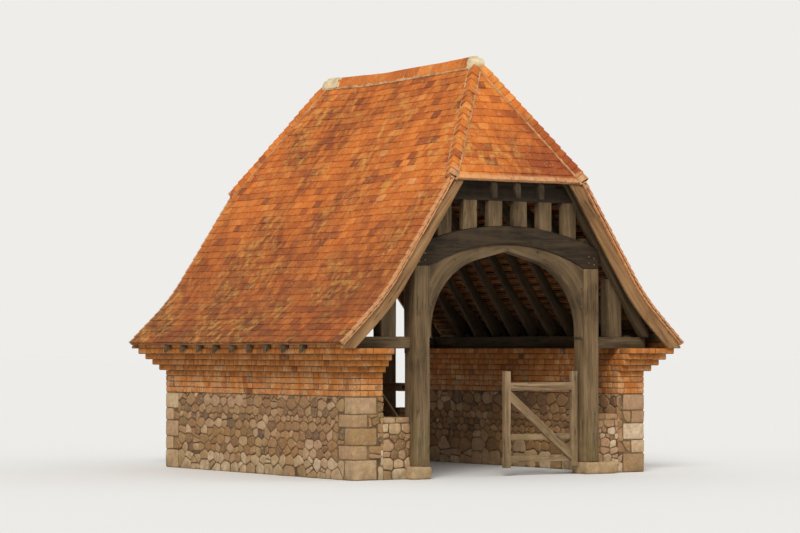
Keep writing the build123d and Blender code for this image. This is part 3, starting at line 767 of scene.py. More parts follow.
def lay_tiles(name, stands_for, place, which, length, reach, planes, seed):
    """Courses of tiles over one face of the roof, this far to both sides, cut along the planes."""
    random = np.random.default_rng(seed)
    count = round(2 * reach / TILE_WIDTH)
    pitch = 2 * reach / count
    rows = []
    for course in range(-1, int((length - 0.02) / GAUGE) + 1):
        base = max(course, 0) * GAUGE
        size = min(TILE_LENGTH * (1 if course >= 0 else 0.65), length - base)
        if course % 2:
            row = [(-reach, 1.5)] + [(-reach + (i + 1.5) * pitch, 1) for i in range(count - 3)]
            row += [(reach - 1.5 * pitch, 1.5)]
        else:
            row = [(-reach + i * pitch, 1) for i in range(count)]
        rows += [(start, share * pitch - TILE_GAP, base, size) for start, share in row]
    starts, widths, bases, lengths = np.array(rows).T[..., None]
    tiles = len(rows)
    steps, columns = len(TILE_STEPS), len(TILE_COLUMNS)
    faces = plate_faces(steps, columns)
    top, rise, column = (axis.reshape(-1) for axis in np.mgrid[1:-1:-1, :steps, :columns])
    v = np.array(TILE_COLUMNS)[column]
    along = np.array(TILE_STEPS)[rise] * np.where(rise <= 1, 1, lengths)
    across = v * widths / 2
    rest = np.clip(2 * TILE_THICKNESS * (1 - along / (2 * GAUGE)), 0, None)
    rest = np.where((bases == 0) & (lengths < TILE_LENGTH * 0.7), TILE_THICKNESS * 0.2, rest)
    worn_edge = np.where(rise == 0, 0.004, 0) + np.where(np.abs(v) == 1, 0.0015, 0)
    out = rest + top * (TILE_THICKNESS - worn_edge)
    out = out + random.uniform(0, 0.0025, (tiles, 1)) + random.normal(0, 0.0012, (tiles, 1)) * v
    out = out + 0.002 * (1 - v ** 2) * random.uniform(-0.4, 1, (tiles, 1))
    turn = random.normal(0, 0.006, (tiles, 1))
    s = bases + along + random.normal(0, 0.0022, (tiles, 1)) - across * turn
    y = starts + (widths + TILE_GAP) / 2 + across + along * turn + random.normal(0, 0.0008, (tiles, 1))
    points = place(np.clip(s, 0.002, None), np.clip(y, -reach, reach), out - TILE_BED, which)
    tints = random.normal(0.5, 0.16, tiles) + 0.09 * random.choice([-3, -1, 0, 0, 0, 0, 1, 1], tiles)
    tints = np.clip(tints, 0, 1)
    own = np.stack([along + random.uniform(-30, 30, (tiles, 1)), across + random.uniform(-30, 30, (tiles, 1)),
                    top * 0.012 + 0 * along], -1)
    planes = [(origin + normal * 0.004, normal) for origin, normal in planes]
    inside = [(points - origin) @ normal > 0 for origin, normal in planes]
    whole = np.all([near.all(1) for near in inside], 0)
    partly = np.all([near.any(1) for near in inside], 0) & ~whole
    pile = Pile(on_roof=True)
    pile.add(points[whole], faces, tints[whole], own[whole])
    for i in np.flatnonzero(partly):
        left, left_faces, left_own = cut(points[i], faces, planes, own[i])
        if len(left_faces) > 3:
            pile.add(left, left_faces, tints[i], left_own)
    pile.build(f"{name}_tiles", TILE, stands_for=stands_for)


def bar(start, end, width, depth, up, spans):
    """A straight bar between two points, in short lengths: points and faces."""
    start, end, up = (np.array(v, float) for v in (start, end, up))
    run = (end - start) / np.linalg.norm(end - start)
    side = np.cross(run, up)
    side /= np.linalg.norm(side)
    up = np.cross(side, run)
    points = [start + (end - start) * i / spans + side * a * width / 2 + up * b * depth / 2
              for i in range(spans + 1) for a, b in ((-1, -1), (1, -1), (1, 1), (-1, 1))]
    return np.array(points), tube_faces(spans + 1, 4)


def lath(place, which, s, reach, below, depth, spans):
    """A bar of a batten's width across a face of the roof, this far up it and below it."""
    up = place(s, 0, 1, which) - place(s, 0, 0, which)
    ends = (place(s, v, -below, which) for v in (-reach, reach))
    return bar(*ends, BATTEN_WIDTH, depth, up, spans)


def battens():
    """Sawn battens under the tiles' heads, seen from inside."""
    random = np.random.default_rng(31)
    pile = Pile(on_roof=True)
    below = TILE_BED + BATTEN_DEPTH / 2
    for side in (-1, 1):
        for course in range(int((SLOPE_LENGTH - 0.02) / GAUGE)):
            s = course * GAUGE + TILE_LENGTH - BATTEN_WIDTH
            if s > SLOPE_LENGTH - BATTEN_WIDTH:
                continue
            back = max(0, (on_slope(s, 0, 0, side)[2] - hip_eave_z) / tan(HIP_PITCH))
            reach = -verge - 0.09 - back - (0.08 if back else 0)
            points, faces = lath(on_slope, side, s, reach, below, BATTEN_DEPTH, 12)
            grain = points[:, [1, 0, 2]] + random.uniform(-9, 9, 3)
            pile.add(points, faces, random.uniform(0.1, 0.9), grain)
    for end in (1, -1):
        for course in range(int(HIP_LENGTH / GAUGE) - 1):
            s = course * GAUGE + TILE_LENGTH - BATTEN_WIDTH
            reach = hip_half * (1 - s / HIP_LENGTH) - 0.06
            if reach >= 0.05:
                points, faces = lath(on_hip, end, s, reach, below, BATTEN_DEPTH, 4)
                pile.add_own(points, faces, random.uniform(0.1, 0.9), random)
    pile.build("roof_battens", OAK, smooth=30)


def tilting_fillets():
    """Sawn laths that lift the lowest tiles at the eaves and at the foot of the hips."""
    random = np.random.default_rng(37)
    pile = Pile(on_roof=True)
    depth = TILE_LAYER - 3 * TILE_THICKNESS
    for place, reach, which in ((on_hip, hip_half - 0.07, 1), (on_hip, hip_half - 0.07, -1),
                                (on_slope, -verge - 0.21, -1), (on_slope, -verge - 0.21, 1)):
        points, faces = lath(place, which, 0.012 + BATTEN_WIDTH / 2, reach, TILE_LAYER - depth / 2, depth, 30)
        pile.add(wobble(points, (0.3, 0.002, 4)), faces, random.uniform(0.8, 1), points[:, [1, 0, 2]])
    pile.build("tilting_fillets", BOARD_OAK, smooth=30)


def astride(middle, legs, reach, lift, crown, spans):
    """Points of a curve over a ridge or hip, whose legs are the directions down its two slopes."""
    up = -(legs[0] + legs[1]) / np.linalg.norm(legs[0] + legs[1])
    t = np.linspace(-1, 1, spans + 1)[:, None]
    return middle + np.where(t < 0, *legs) * abs(t) ** 1.25 * reach + up * (lift - crown * abs(t) ** 2.2)


def cap_tile(start, end, legs, reach, crown, taper, thickness):
    """A curved tile that sits astride a ridge or hip. taper is its width at the far end."""
    rows = []
    for lift in (thickness, 0):
        for share in CAP_STEPS:
            scale = 1 + (taper - 1) * share + (0.015 if share == CAP_STEPS[1] else 0)
            middle = start + (end - start) * share
            rows.append(astride(middle, legs, reach * scale, crown * scale + lift, crown * scale, 10))
    return np.concatenate(rows), plate_faces(len(CAP_STEPS), 11)


def mortar_cap(start, run, legs, reach, lift, crown, end_size):
    """A solid cap of mortar astride a ridge or hip.

    run leads along it from its outer end, which is smaller by end_size, and lift is its height."""
    spans = 14
    heart = -0.06 * astride(np.zeros(3), legs, 0, 1, 0, 1)[:1]
    points = []
    for share, size in ((0.0, end_size), (0.04, (1 + end_size) / 2), (0.15, 0.97), (0.4, 1.0), (0.75, 1.0),
                        (0.92, 0.96), (1.0, 0.86)):
        centre = start + run * share + heart
        edge = astride(start + run * share, legs, reach, lift, crown, spans)
        points += [centre + (edge - centre) * size, centre]
    columns, last = spans + 2, 6 * (spans + 2)
    fan = [(spans + 1, k, k + 1) for k in range(spans)]
    faces = grid_faces(7, columns, closed=True) + [face[::-1] for face in fan]
    return np.concatenate(points), faces + [tuple(last + corner for corner in face) for face in fan]


def lump(size, middle):
    """A rounded lump of this size."""
    keys, faces = cube_grid(6)
    cube = keys / keys.max() * 2 - 1
    girths = (np.abs(cube) ** 3).sum(1) ** (1 / 3)
    return cube / girths[:, None] * np.array(size) / 2 + middle, faces


def ridge():
    """Half-round ridge tiles end to end on a bed of mortar, with pale lumps of it at both ends."""
    random = np.random.default_rng(41)
    pile, bed, ends = Pile(True), Pile(True), Pile(True)
    low, high = (corner.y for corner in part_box("ridge_tiles"))
    count = round((high - low) / RIDGE_TILE_LENGTH)
    length = (high - low) / count
    legs = [np.array([way * cos(MAIN_PITCH), 0, -sin(MAIN_PITCH)]) for way in (-1, 1)]
    peak = np.array([0, 0, ridge_z])
    for i in range(count):
        y = low + i * length
        start_y = y + (RIDGE_END_MORTAR[0] - 0.02 if i == 0 else 0.004)
        end_y = y + length - (length * 0.7 if i == count - 1 else 0.004)
        start, end = (peak + (random.normal(0, 0.002), v, random.normal(-0.002, 0.0015))
                      for v in (start_y, end_y))
        shape = cap_tile(start, end, legs, RIDGE_REACH, RIDGE_RISE, 1.0, RIDGE_THICKNESS)
        pile.add_own(*shape, tinted(random, 0.55, 0.16), random)
    bed_reach, bed_rise = RIDGE_REACH - BEDDING_INSET, RIDGE_RISE - BEDDING_INSET
    for i in range(1, count):
        start, end = (peak + (0, low + i * length + way * 0.009, 0) for way in (-1, 1))
        bed.add_rough(cap_tile(start, end, legs, bed_reach, bed_rise, 1.0, 0.019), (0.03, 0.003, 3))
    for leg in legs:
        foot = peak + leg * bed_reach
        up = (-leg[2] * np.sign(leg[0]), 0, abs(leg[0]))
        shape = bar(foot + (0, low + 0.02, 0), foot + (0, high - 0.02, 0), 0.044, 0.018, up, 120)
        bed.add_rough(shape, (0.05, 0.007, 7), (0.2, 0.008, 9))
    for y, inward, size in ((low, 1, RIDGE_END_MORTAR[0]), (high, -1, RIDGE_END_MORTAR[1])):
        shape = mortar_cap(peak + (0, y, 0), np.array([0, inward * (size + 0.03), 0]), legs,
                           RIDGE_REACH + 0.012, RIDGE_RISE + 0.02, RIDGE_RISE, 0.84)
        ends.add_rough(shape, (0.12, 0.01, 5 + inward), (0.045, 0.004, 8))
        shape = lump(RIDGE_LUMP, peak + (0, y + inward * 0.055, -0.066))
        ends.add_rough(shape, (0.1, 0.02, 11), (0.04, 0.005, 12))
    pile.build("ridge_capping", TILE, stands_for="ridge_tiles")
    bed.build("ridge_bedding", BEDDING)
    ends.build("ridge_end_mortar", POINTING)


def hips():
    """Bonnet tiles down the four hips, each bedded on the one below."""
    random = np.random.default_rng(43)
    pile, bed = Pile(True), Pile(True)
    for side, end in ((-1, -1), (-1, 1), (1, -1), (1, 1)):
        foot = np.array([side * hip_half, end * -verge, hip_eave_z])
        top = np.array([0, end * -ridge_end, ridge_z])
        length = np.linalg.norm(top - foot)
        run = (top - foot) / length
        outs = (np.array([side * sin(MAIN_PITCH), 0, cos(MAIN_PITCH)]),
                np.array([0, end * sin(HIP_PITCH), cos(HIP_PITCH)]))
        legs = []
        for out, toward in zip(outs, ((0, -end, 0), (-side, 0, 0))):
            leg = np.cross(out, run)
            legs.append(leg / np.linalg.norm(leg) * np.sign(leg @ np.array(toward)))
        lift = sum(outs) / np.linalg.norm(sum(outs))
        for leg, out in zip(legs, outs):
            beside = leg * BEDDING_REACH + out * 0.001
            shape = bar(foot + run * 0.03 + beside, top - run * 0.06 + beside, 0.03, 0.02, out, 70)
            bed.add_rough(shape, (0.05, 0.006, 7), (0.2, 0.006, 9))
        start = foot + run * 0.04 + lift * 0.015
        bed.add_rough(mortar_cap(start, run * 0.12, legs, 0.09, 0.022, 0.022, 0.94), (0.05, 0.004, 21))
        count = round((length - BONNET_STOP) / GAUGE)
        step = (length - BONNET_STOP) / count
        for i in range(count):
            mouth = foot + run * (i * step + 0.03) + lift * BONNET_LIFT
            tail = mouth + run * step * 2.1 - lift * BONNET_LIFT
            points, faces = cap_tile(mouth, tail, legs, BONNET_REACH, BONNET_RISE, BONNET_TAPER, TILE_THICKNESS)
            pile.add_own(points + random.normal(0, 0.0015, 3), faces, tinted(random, 0.5, 0.17), random)
            start, rise = mouth + run * 0.012 - lift * 0.009, BONNET_RISE - BEDDING_INSET
            shape = cap_tile(start, start + run * 0.06, legs, BEDDING_REACH, rise, 0.9, 0.012)
            bed.add_rough(shape, (0.03, 0.004, i))
    pile.build("hip_bonnets", TILE, stands_for="hip_tiles")
    bed.build("hip_bedding", BEDDING)


def verges():
    """A course of tiles laid flat under the verge, and mortar between it and the slope's own tiles."""
    random = np.random.default_rng(47)
    tiles, bed = Pile(True), Pile(True)
    last = SLOPE_LENGTH - HIP_LENGTH * 1.02
    under = UNDERCLOAK_DEPTH - TILE_LAYER
    for side, end in ((-1, -1), (-1, 1), (1, -1), (1, 1)):
        for s in np.arange(0.09, last, TILE_WIDTH + 0.004):
            flat, faces = soft_box((TILE_WIDTH, UNDERCLOAK_WIDTH, UNDERCLOAK_DEPTH), 0.002, 1)
            along = s + flat[:, 0] + flat[:, 1] * random.normal(0, 0.012)
            across = end * (-verge - UNDERCLOAK_WIDTH / 2 - random.uniform(0.0, 0.012)) + flat[:, 1]
            lift = under - UNDERCLOAK_DEPTH / 2 + flat[:, 2] + random.uniform(-0.001, 0.002)
            tiles.add_own(on_slope(along, across, lift, side), faces, tinted(random, 0.9, 0.1), random)
        for s in np.arange(0.06, last, GAUGE):
            size = (GAUGE * random.uniform(0.76, 0.9), 0.06, 0.006 - TILE_BED - under)
            pat, faces = soft_box(size, 0.005, 2)
            across = end * (-verge - 0.044 - random.uniform(0, 0.006)) + pat[:, 1]
            points = on_slope(s + pat[:, 0], across, (under - TILE_BED) / 2 + pat[:, 2], side)
            bed.add(wobble(points, (0.03, 0.003, s)), faces)
    tiles.build("verge_undercloak", TILE)
    bed.build("verge_bedding", BEDDING)


# Masonry

def sides_of(polygon):
    return zip(polygon, polygon[1:] + polygon[:1])


def clip(polygon, normal, offset):
    """The part of a convex outline on the near side of a line."""
    kept = []
    for a, b in sides_of(polygon):
        da, db = (p[0] * normal[0] + p[1] * normal[1] - offset for p in (a, b))
        if da <= 0:
            kept.append(a)
        if (da < 0 < db) or (db < 0 < da):
            t = da / (da - db)
            kept.append((a[0] + t * (b[0] - a[0]), a[1] + t * (b[1] - a[1])))
    return kept


def scatter(width, height, blocks, random, scale):
    """Places and half widths of stones on a face, in rough courses, clear of its squared blocks."""
    spots = []
    z = 0.0
    while z < height:
        row = scale * random.uniform(0.07, 0.15) * (1.3 if z < 0.2 else 1)
        x = -random.uniform(0, 0.15)
        while x < width:
            step = row * random.uniform(0.75, 2.4)
            two_high = random.random() < 0.16 and row > 0.11 * scale
            for rise, share in ((0.27, 0.3), (0.76, 0.22)) if two_high else ((0.5, 0.5),):
                place = (x + step * random.uniform(0.4, 0.6), z + row * (rise + random.uniform(-0.13, 0.13)))
                spots.append((*place, min(step * STONE_SQUASH, row * 1.2) * share))
            x += step
        z += row
    return np.array([s for s in spots if not any(a < s[0] < b and c < s[1] < d for a, b, c, d in blocks)])


def power_cells(spots, width, height, gaps):
    """For each stone the outline of the part of a face that is nearest to it."""
    cells = []
    for (x, z, radius), gap in zip(spots, gaps):
        polygon = [(0, 0), (width * STONE_SQUASH, 0), (width * STONE_SQUASH, height), (0, height)]
        away = spots[:, :2] - (x, z)
        far = np.hypot(*away.T)
        for i in np.argsort(far)[1:24]:
            normal = away[i] / far[i]
            share = (far[i] ** 2 + radius ** 2 - spots[i, 2] ** 2) / (2 * far[i])
            polygon = clip(polygon, normal, normal @ (x, z) + share - gap / 2)
        cells.append(polygon)
    return cells


def overlaps(polygon, block):
    """Whether an outline's box reaches into a block."""
    if len(polygon) < 3:
        return False
    xs, zs = zip(*polygon)
    a, b, c, d = block
    return min(xs) < b and max(xs) > a and min(zs) < d and max(zs) > c


def stout(polygon):
    """Whether an outline is large and round enough for a stone."""
    area = abs(sum(a[0] * b[1] - b[0] * a[1] for a, b in sides_of(polygon))) / 2
    return len(polygon) > 2 and area > max(0.0007, 0.036 * sum(dist(a, b) for a, b in sides_of(polygon)) ** 2)


def rubble_cells(width, height, blocks, random, scale):
    """Outlines of rubble stones of mixed sizes that fill a face round its squared blocks."""
    spots = scatter(width, height, blocks, random, scale)
    spots[:, 0] *= STONE_SQUASH
    for spot, polygon in zip(spots, power_cells(spots, width, height, np.zeros(len(spots)))):
        if len(polygon) > 2:
            spot[:2] = spot[:2] * 0.5 + np.mean(polygon, 0) * 0.5
    cells = []
    gaps = random.uniform(0.8, 1.7, len(spots)) * JOINT
    for (x, z, _), gap, polygon in zip(spots, gaps, power_cells(spots, width, height, gaps)):
        x /= STONE_SQUASH
        polygon = [(px / STONE_SQUASH, pz) for px, pz in polygon]
        for a, b, c, d in blocks:
            sides = [((1, 0), a - x), ((-1, 0), x - b), ((0, 1), c - z), ((0, -1), z - d)]
            normal, room = max(sides, key=lambda side: side[1])
            if overlaps(polygon, (a, b, c, d)):
                polygon = clip(polygon, normal, normal[0] * x + normal[1] * z + room - gap)
        if stout(polygon):
            cells.append(polygon)
    return cells


def rounded(polygon, count):
    """An outline with its corners cut, as evenly spaced points."""
    points = np.array(polygon)
    for share in (0.09, 0.25):
        ahead = np.roll(points, -1, 0)
        points = np.stack([points * (1 - share) + ahead * share, points * share + ahead * (1 - share)], 1)
        points = points.reshape(-1, 2)
    closed = np.vstack([points, points[:1]])
    walk = np.concatenate([[0], np.cumsum(np.hypot(*np.diff(closed, axis=0).T))])
    marks = np.linspace(0, walk[-1], count, endpoint=False)
    return np.stack([np.interp(marks, walk, closed[:, i]) for i in (0, 1)], -1)


def lay_stone(pile, polygon, origin, right, up, random, bulge, tint):
    """One rubble stone: a rough cushion over its outline, its foot sunk in the mortar."""
    ring = rounded(polygon, STONE_SIDES)
    middle = ring.mean(0)
    tilt = random.normal(0, 0.06, 2)
    flat = np.concatenate([middle + (ring - middle) * scale for scale, _ in STONE_RINGS] + [middle[None]])
    lift = np.concatenate([np.full(STONE_SIDES, lift) for _, lift in STONE_RINGS] + [[STONE_RINGS[-1][1]]])
    height = bulge * lift + np.where(lift > 0.5, (flat - middle) @ tilt, 0)
    points = origin + flat[:, :1] * right + flat[:, 1:] * up + height[:, None] * np.cross(right, up)
    points = wobble(points, (0.07, 0.007, random.uniform(0, 50)), (0.025, 0.003, random.uniform(0, 50)))
    last = len(STONE_RINGS) * STONE_SIDES
    top = last - STONE_SIDES
    faces = grid_faces(len(STONE_RINGS), STONE_SIDES, closed=True) + [tuple(range(STONE_SIDES))[::-1]]
    faces += [(top + i, top + (i + 1) % STONE_SIDES, last) for i in range(STONE_SIDES)]
    pile.add_own(points, faces, tint, random, 20)


def stone_face(pile, origin, right, width, height, random, blocks=(), scale=1.0, tone=0.36):
    """Covers one upright face with rubble. right is the way along it, seen from outside."""
    right, up = np.array(right, float), np.array((0, 0, 1.0))
    origin = np.array(origin, float) - np.cross(right, up) * MORTAR_DEPTH
    for polygon in rubble_cells(width, height, blocks, random, scale):
        low = np.mean([p[1] for p in polygon])
        tint = tinted(random, tone, 0.2) if low > PALE_FOOT else tinted(random, 0.74, 0.16)
        lay_stone(pile, polygon, origin, right, up, random, random.uniform(0.014, 0.025), tint)


def rough_block(pile, low, high, random, rounding, tint, uneven=0.006, cuts=3):
    """A squared stone with rounded edges and uneven faces."""
    low, high = np.array(low, float), np.array(high, float)
    points, faces = soft_box(high - low, rounding, cuts)
    waves = (0.13, uneven, random.uniform(0, 50)), (0.04, uneven * 0.4, random.uniform(0, 50))
    pile.add_own(wobble(points + (low + high) / 2, *waves), faces, tint, random, 20)


def mortar_block(pile, low, high, most_cuts=12):
    """The mortar behind stones or bricks: a box with slightly uneven faces."""
    low, high = np.array(low), np.array(high)
    cuts = min(most_cuts, max(2, int((high - low).max() / MORTAR_SPACING)))
    points, faces = soft_box(high - low, 0.004, cuts)
    pile.add(wobble(points + (low + high) / 2, (0.2, 0.003, 5)), faces)


def side_wall(name, side, seed):
    """Rubble wall with squared stones at its outer corners."""
    random = np.random.default_rng(seed)
    pile, core = Pile(), Pile()
    low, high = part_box(f"side_wall_{name}")
    outer, inner = (high, low) if side > 0 else (low, high)
    long, thick, tall = high.y - low.y, high.x - low.x, high.z
    outer_blocks, end_blocks = [], {-1: [], 1: []}
    for end in (-1, 1):
        z0 = 0.0
        for i, height in enumerate(QUOIN_COURSES):
            z1 = z0 + height
            swap = (i + (end > 0)) % 2
            along, across = QUOIN_REACHES[swap], min(QUOIN_REACHES[1 - swap], thick - 0.09)
            y_end = low.y if end < 0 else high.y
            y0, y1 = sorted((y_end - end * 0.002, y_end - end * along))
            x0, x1 = sorted((outer.x + side * 0.002, outer.x - side * across))
            rough_block(pile, (x0, y0, z0 + JOINT / 2), (x1, y1, z1 - JOINT / 2), random,
                        QUOIN_ROUNDING, tinted(random, 0.68, 0.14))
            start = y0 - low.y if side > 0 else high.y - y1
            outer_blocks.append((start - 0.01, start + y1 - y0 + 0.01, z0, z1))
            start = x0 - low.x if end < 0 else high.x - x1
            end_blocks[end].append((start - 0.01, start + x1 - x0 + 0.01, z0, z1))
            z0 = z1
    stone_face(pile, (outer.x, inner.y, 0), (0, side, 0), long, tall, random, outer_blocks)
    stone_face(pile, (inner.x, outer.y, 0), (0, -side, 0), long, tall, random)
    stone_face(pile, (low.x, low.y, 0), (1, 0, 0), thick, tall, random, end_blocks[-1], 0.9)
    stone_face(pile, (high.x, high.y, 0), (-1, 0, 0), thick, tall, random, end_blocks[1], 0.9)
    pile.build(f"rubble_{name}", STONE, smooth=60)
    inset = Vector((MORTAR_INSET, MORTAR_INSET, 0))
    mortar_block(core, low + inset, high - inset, most_cuts=40)
    core.build(f"wall_mortar_{name}", MORTAR, stands_for=f"side_wall_{name}")


def dwarf_walls():
    """The four low walls beside the posts, with flat stones on top, and the stones under the posts."""
    random = np.random.default_rng(61)
    pile, core, stones = Pile(), Pile(), Pile()
    for points, _ in solid_parts("dwarf_walls"):
        low, high = points.min(0), points.max(0)
        top = high[2] - COPING_HEIGHT
        tone = 0.62 if low[0] > 0 else 0.42
        for (x, y, _), way in ((low, 1), (high, -1)):
            stone_face(pile, (x, y, 0), (way, 0, 0), high[0] - low[0], top, random, (), 0.9, tone)
        mortar_block(core, low + (0, MORTAR_INSET, 0), high - (0, MORTAR_INSET, 0.01))
        x = low[0]
        while x < high[0] - 0.02:
            left = high[0] - x
            step = min(random.uniform(*COPING_LENGTHS), left)
            step = left if left - step < COPING_LEAST else step
            corners = (x + 0.004, low[1] + 0.002, top + 0.005), (x + step - 0.004, high[1] - 0.002, high[2])
            rough_block(pile, *corners, random, COPING_ROUNDING, tinted(random, 0.6, 0.15))
            x += step
    pile.build("dwarf_wall_rubble", STONE, smooth=60)
    core.build("dwarf_wall_mortar", MORTAR, stands_for="dwarf_walls")
    for points, _ in solid_parts("padstones"):
        rough_block(stones, points.min(0), points.max(0), random, PADSTONE_ROUNDING,
                    random.uniform(0.66, 0.84), 0.007, 5)
    stones.build("worn_padstones", STONE, smooth=60, stands_for="padstones")


def brick_row(pile, start, way, length, inward, z0, course, headers, random):
    """A row of bricks along a face, from one end to the other."""
    start, way, inward = (np.array(v, float) for v in (start, way, inward))
    sizes = []
    pattern = [BRICK_DEPTH + JOINT] if headers else [BRICK_LENGTH, BRICK_DEPTH + JOINT]
    while sum(sizes) < length - 0.06:
        sizes.append(pattern[len(sizes) % len(pattern)] * random.uniform(0.97, 1.03))
    walk = 0.0
    for size in np.array(sizes) * length / sum(sizes):
        local, faces = soft_box((size - JOINT, BRICK_DEPTH, course - JOINT), 0.004, 1)
        local = local + local[:, [1, 0, 2]] * (random.normal(0, 0.004), random.normal(0, 0.004), 0)
        proud = min(random.normal(-0.0015, 0.0016), 0)
        middle = start + way * (walk + size / 2) + inward * (BRICK_DEPTH / 2 - proud)
        middle[2] += z0 + (course + JOINT) / 2
        points = middle + local[:, :1] * way + local[:, 1:2] * inward + local[:, 2:] * (0, 0, 1)
        points = wobble(points, (0.05, 0.0022, random.uniform(0, 50)))
        pile.add_own(points, faces, tinted(random, 0.52, 0.2), random, 20)
        walk += size


def roof_under(x):
    """Height of the underside of the tiles over the foot of a slope."""
    return eave_z - 3 * TILE_THICKNESS / cos(FLARE_PITCH) + tan(FLARE_PITCH) * (eave_half - abs(x))


def filling(name, side, out, end_y, z0, course, pile, core, random):
    """Bricks and mortar on the wall's outer edge, up to the tiles, between the rafters' feet."""
    feet = [(points[:, 1].min(), points[:, 1].max()) for points, _ in solid_parts(f"common_rafters_{name}")]
    edges = [-end_y] + [v for foot in sorted(feet) for v in foot] + [end_y]
    near, far = out - side * 0.012, out - side * BRICK_DEPTH
    for y0, y1 in zip(edges[::2], edges[1::2]):
        row = (out, y0 + 0.003, 0), (0, 1, 0), y1 - y0 - 0.003, (-side, 0, 0)
        brick_row(pile, *row, z0, course, False, random)
        stations = max(3, int((y1 - y0) / 0.06))
        rows = [(x, y, z) for y in np.linspace(y0 + 0.002, y1 - 0.002, stations)
                for x, z in ((near, roof_under(near)), (far, roof_under(far)), (far, z0), (near, z0))]
        core.add(settled(wobble(np.array(rows), (0.07, 0.004, 6))), tube_faces(stations, 4))


def brickwork(name, side, seed):
    """The corbelled brick courses on one side wall, and the mortar between them."""
    random = np.random.default_rng(seed)
    pile, core = Pile(), Pile()
    low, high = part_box(f"brick_corbel_{name}")
    inner, outer = (low.x, high.x) if side > 0 else (high.x, low.x)
    courses = PLAIN_COURSES + CORBEL_COURSES
    course = (wall_top - low.z) / courses
    step_out = (abs(outer) - wall_high.x) / CORBEL_COURSES
    step_on = (abs(low.y) - abs(wall_low.y)) / CORBEL_COURSES
    for i in range(courses):
        z0 = low.z + i * course
        steps = max(0, i + 1 - PLAIN_COURSES)
        out = side * (wall_high.x + steps * step_out)
        y = abs(wall_low.y) + steps * step_on
        headers = i % 2 == 1
        for face, inward in ((out, -side), (inner, side)):
            brick_row(pile, (face, -y, 0), (0, 1, 0), 2 * y, (inward, 0, 0), z0, course, headers, random)
        near, far = sorted((inner + side * BRICK_DEPTH, out - side * BRICK_DEPTH))
        for end in (-1, 1):
            row = (near, end * y, 0), (1, 0, 0), far - near, (0, -end, 0)
            brick_row(pile, *row, z0, course, not headers, random)
        x0, x1 = sorted((inner + side * 0.006, out - side * 0.008))
        top = z0 + course + (0.003 if i == courses - 1 else -0.001)
        mortar_block(core, (x0, -y + 0.008, z0 + 0.001), (x1, y - 0.008, top))
    filling(name, side, out, y, wall_top, course, pile, core, random)
    pile.build(f"bricks_{name}", BRICK, smooth=50)
    core.build(f"brick_mortar_{name}", MORTAR, stands_for=f"brick_corbel_{name}")


# Small fastenings

def place_studs(pile, spots, way, radius, proud, dome, random, sides=10):
    """Pegs or nail heads at the spots, facing the given way: short, round and domed."""
    way = np.array(way, float)
    right = np.cross((0, 0, 1), way)
    rings = ((1.0, -0.02), (1.0, 0.0), (0.82, dome * 0.75), (0.4, dome))
    for spot in spots:
        size = radius * random.uniform(0.9, 1.1)
        spin = random.uniform(0, 1)
        middle = np.array(spot) + way * (proud * random.uniform(0.4, 1.3))
        points = [middle + size * r * (right * cos(a + spin) + np.array((0, 0, sin(a + spin)))) + way * height
                  for r, height in rings for a in np.linspace(0, 2 * pi, sides, endpoint=False)]
        pile.add_own(np.array(points), tube_faces(len(rings), sides), random.uniform(0.1, 0.9), random)


def pegs():
    """Oak pegs through the joints of the two end frames: tie beam to post, brace to post and brace to tie."""
    random = np.random.default_rng(71)
    pile = Pile()
    front = abs(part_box("front_posts")[0].y)
    for end in (-1, 1):
        spots = [(side * x, end * front, z) for side in (-1, 1) for x, z in TIE_PEGS]
        place_studs(pile, spots, (0, end, 0), TIE_PEG_RADIUS, 0.005, 0.003, random)
        spots = [(side * x, end * (front - 0.02), z) for side in (-1, 1) for x, z in BRACE_PEGS]
        place_studs(pile, spots, (0, end, 0), BRACE_PEG_RADIUS, 0.004, 0.003, random)
    pile.build("oak_pegs", OAK)


def gate_nails():
    """Domed nail heads through the gates' straps."""
    random = np.random.default_rng(73)
    for name, way in (("left_gate", (-1, 0, 0)), ("right_gate", (0, 1, 0))):
        pile = Pile()
        for points, _ in solid_parts(f"{name}_straps"):
            low, high = points.min(0), points.max(0)
            z = (low[2] + high[2]) / 2
            if name == "right_gate":
                spots = [(high[0] - d, low[1] + STRAP_FACE, z) for d in NAIL_PLACES]
            else:
                spots = [(high[0] - STRAP_FACE, low[1] + d, z) for d in NAIL_PLACES]
            place_studs(pile, spots, way, NAIL_RADIUS, 0.001, 0.004, random, 12)
        pile.build(f"{name}_nails", IRON, name)


# Stage

def aim(name, data, toward):
    """A camera or lamp that looks this way."""
    made = put(name, data)
    made.rotation_mode = "QUATERNION"
    made.rotation_quaternion = Vector(toward).to_track_quat("-Z", "Y")
    return made


def camera():
    data = bpy.data.cameras.new("camera")
    data.lens = LENS
    data.clip_end = 500
    eye = aim("camera", data, LOOK_AT - EYE)
    eye.location = EYE
    bpy.context.scene.camera = eye


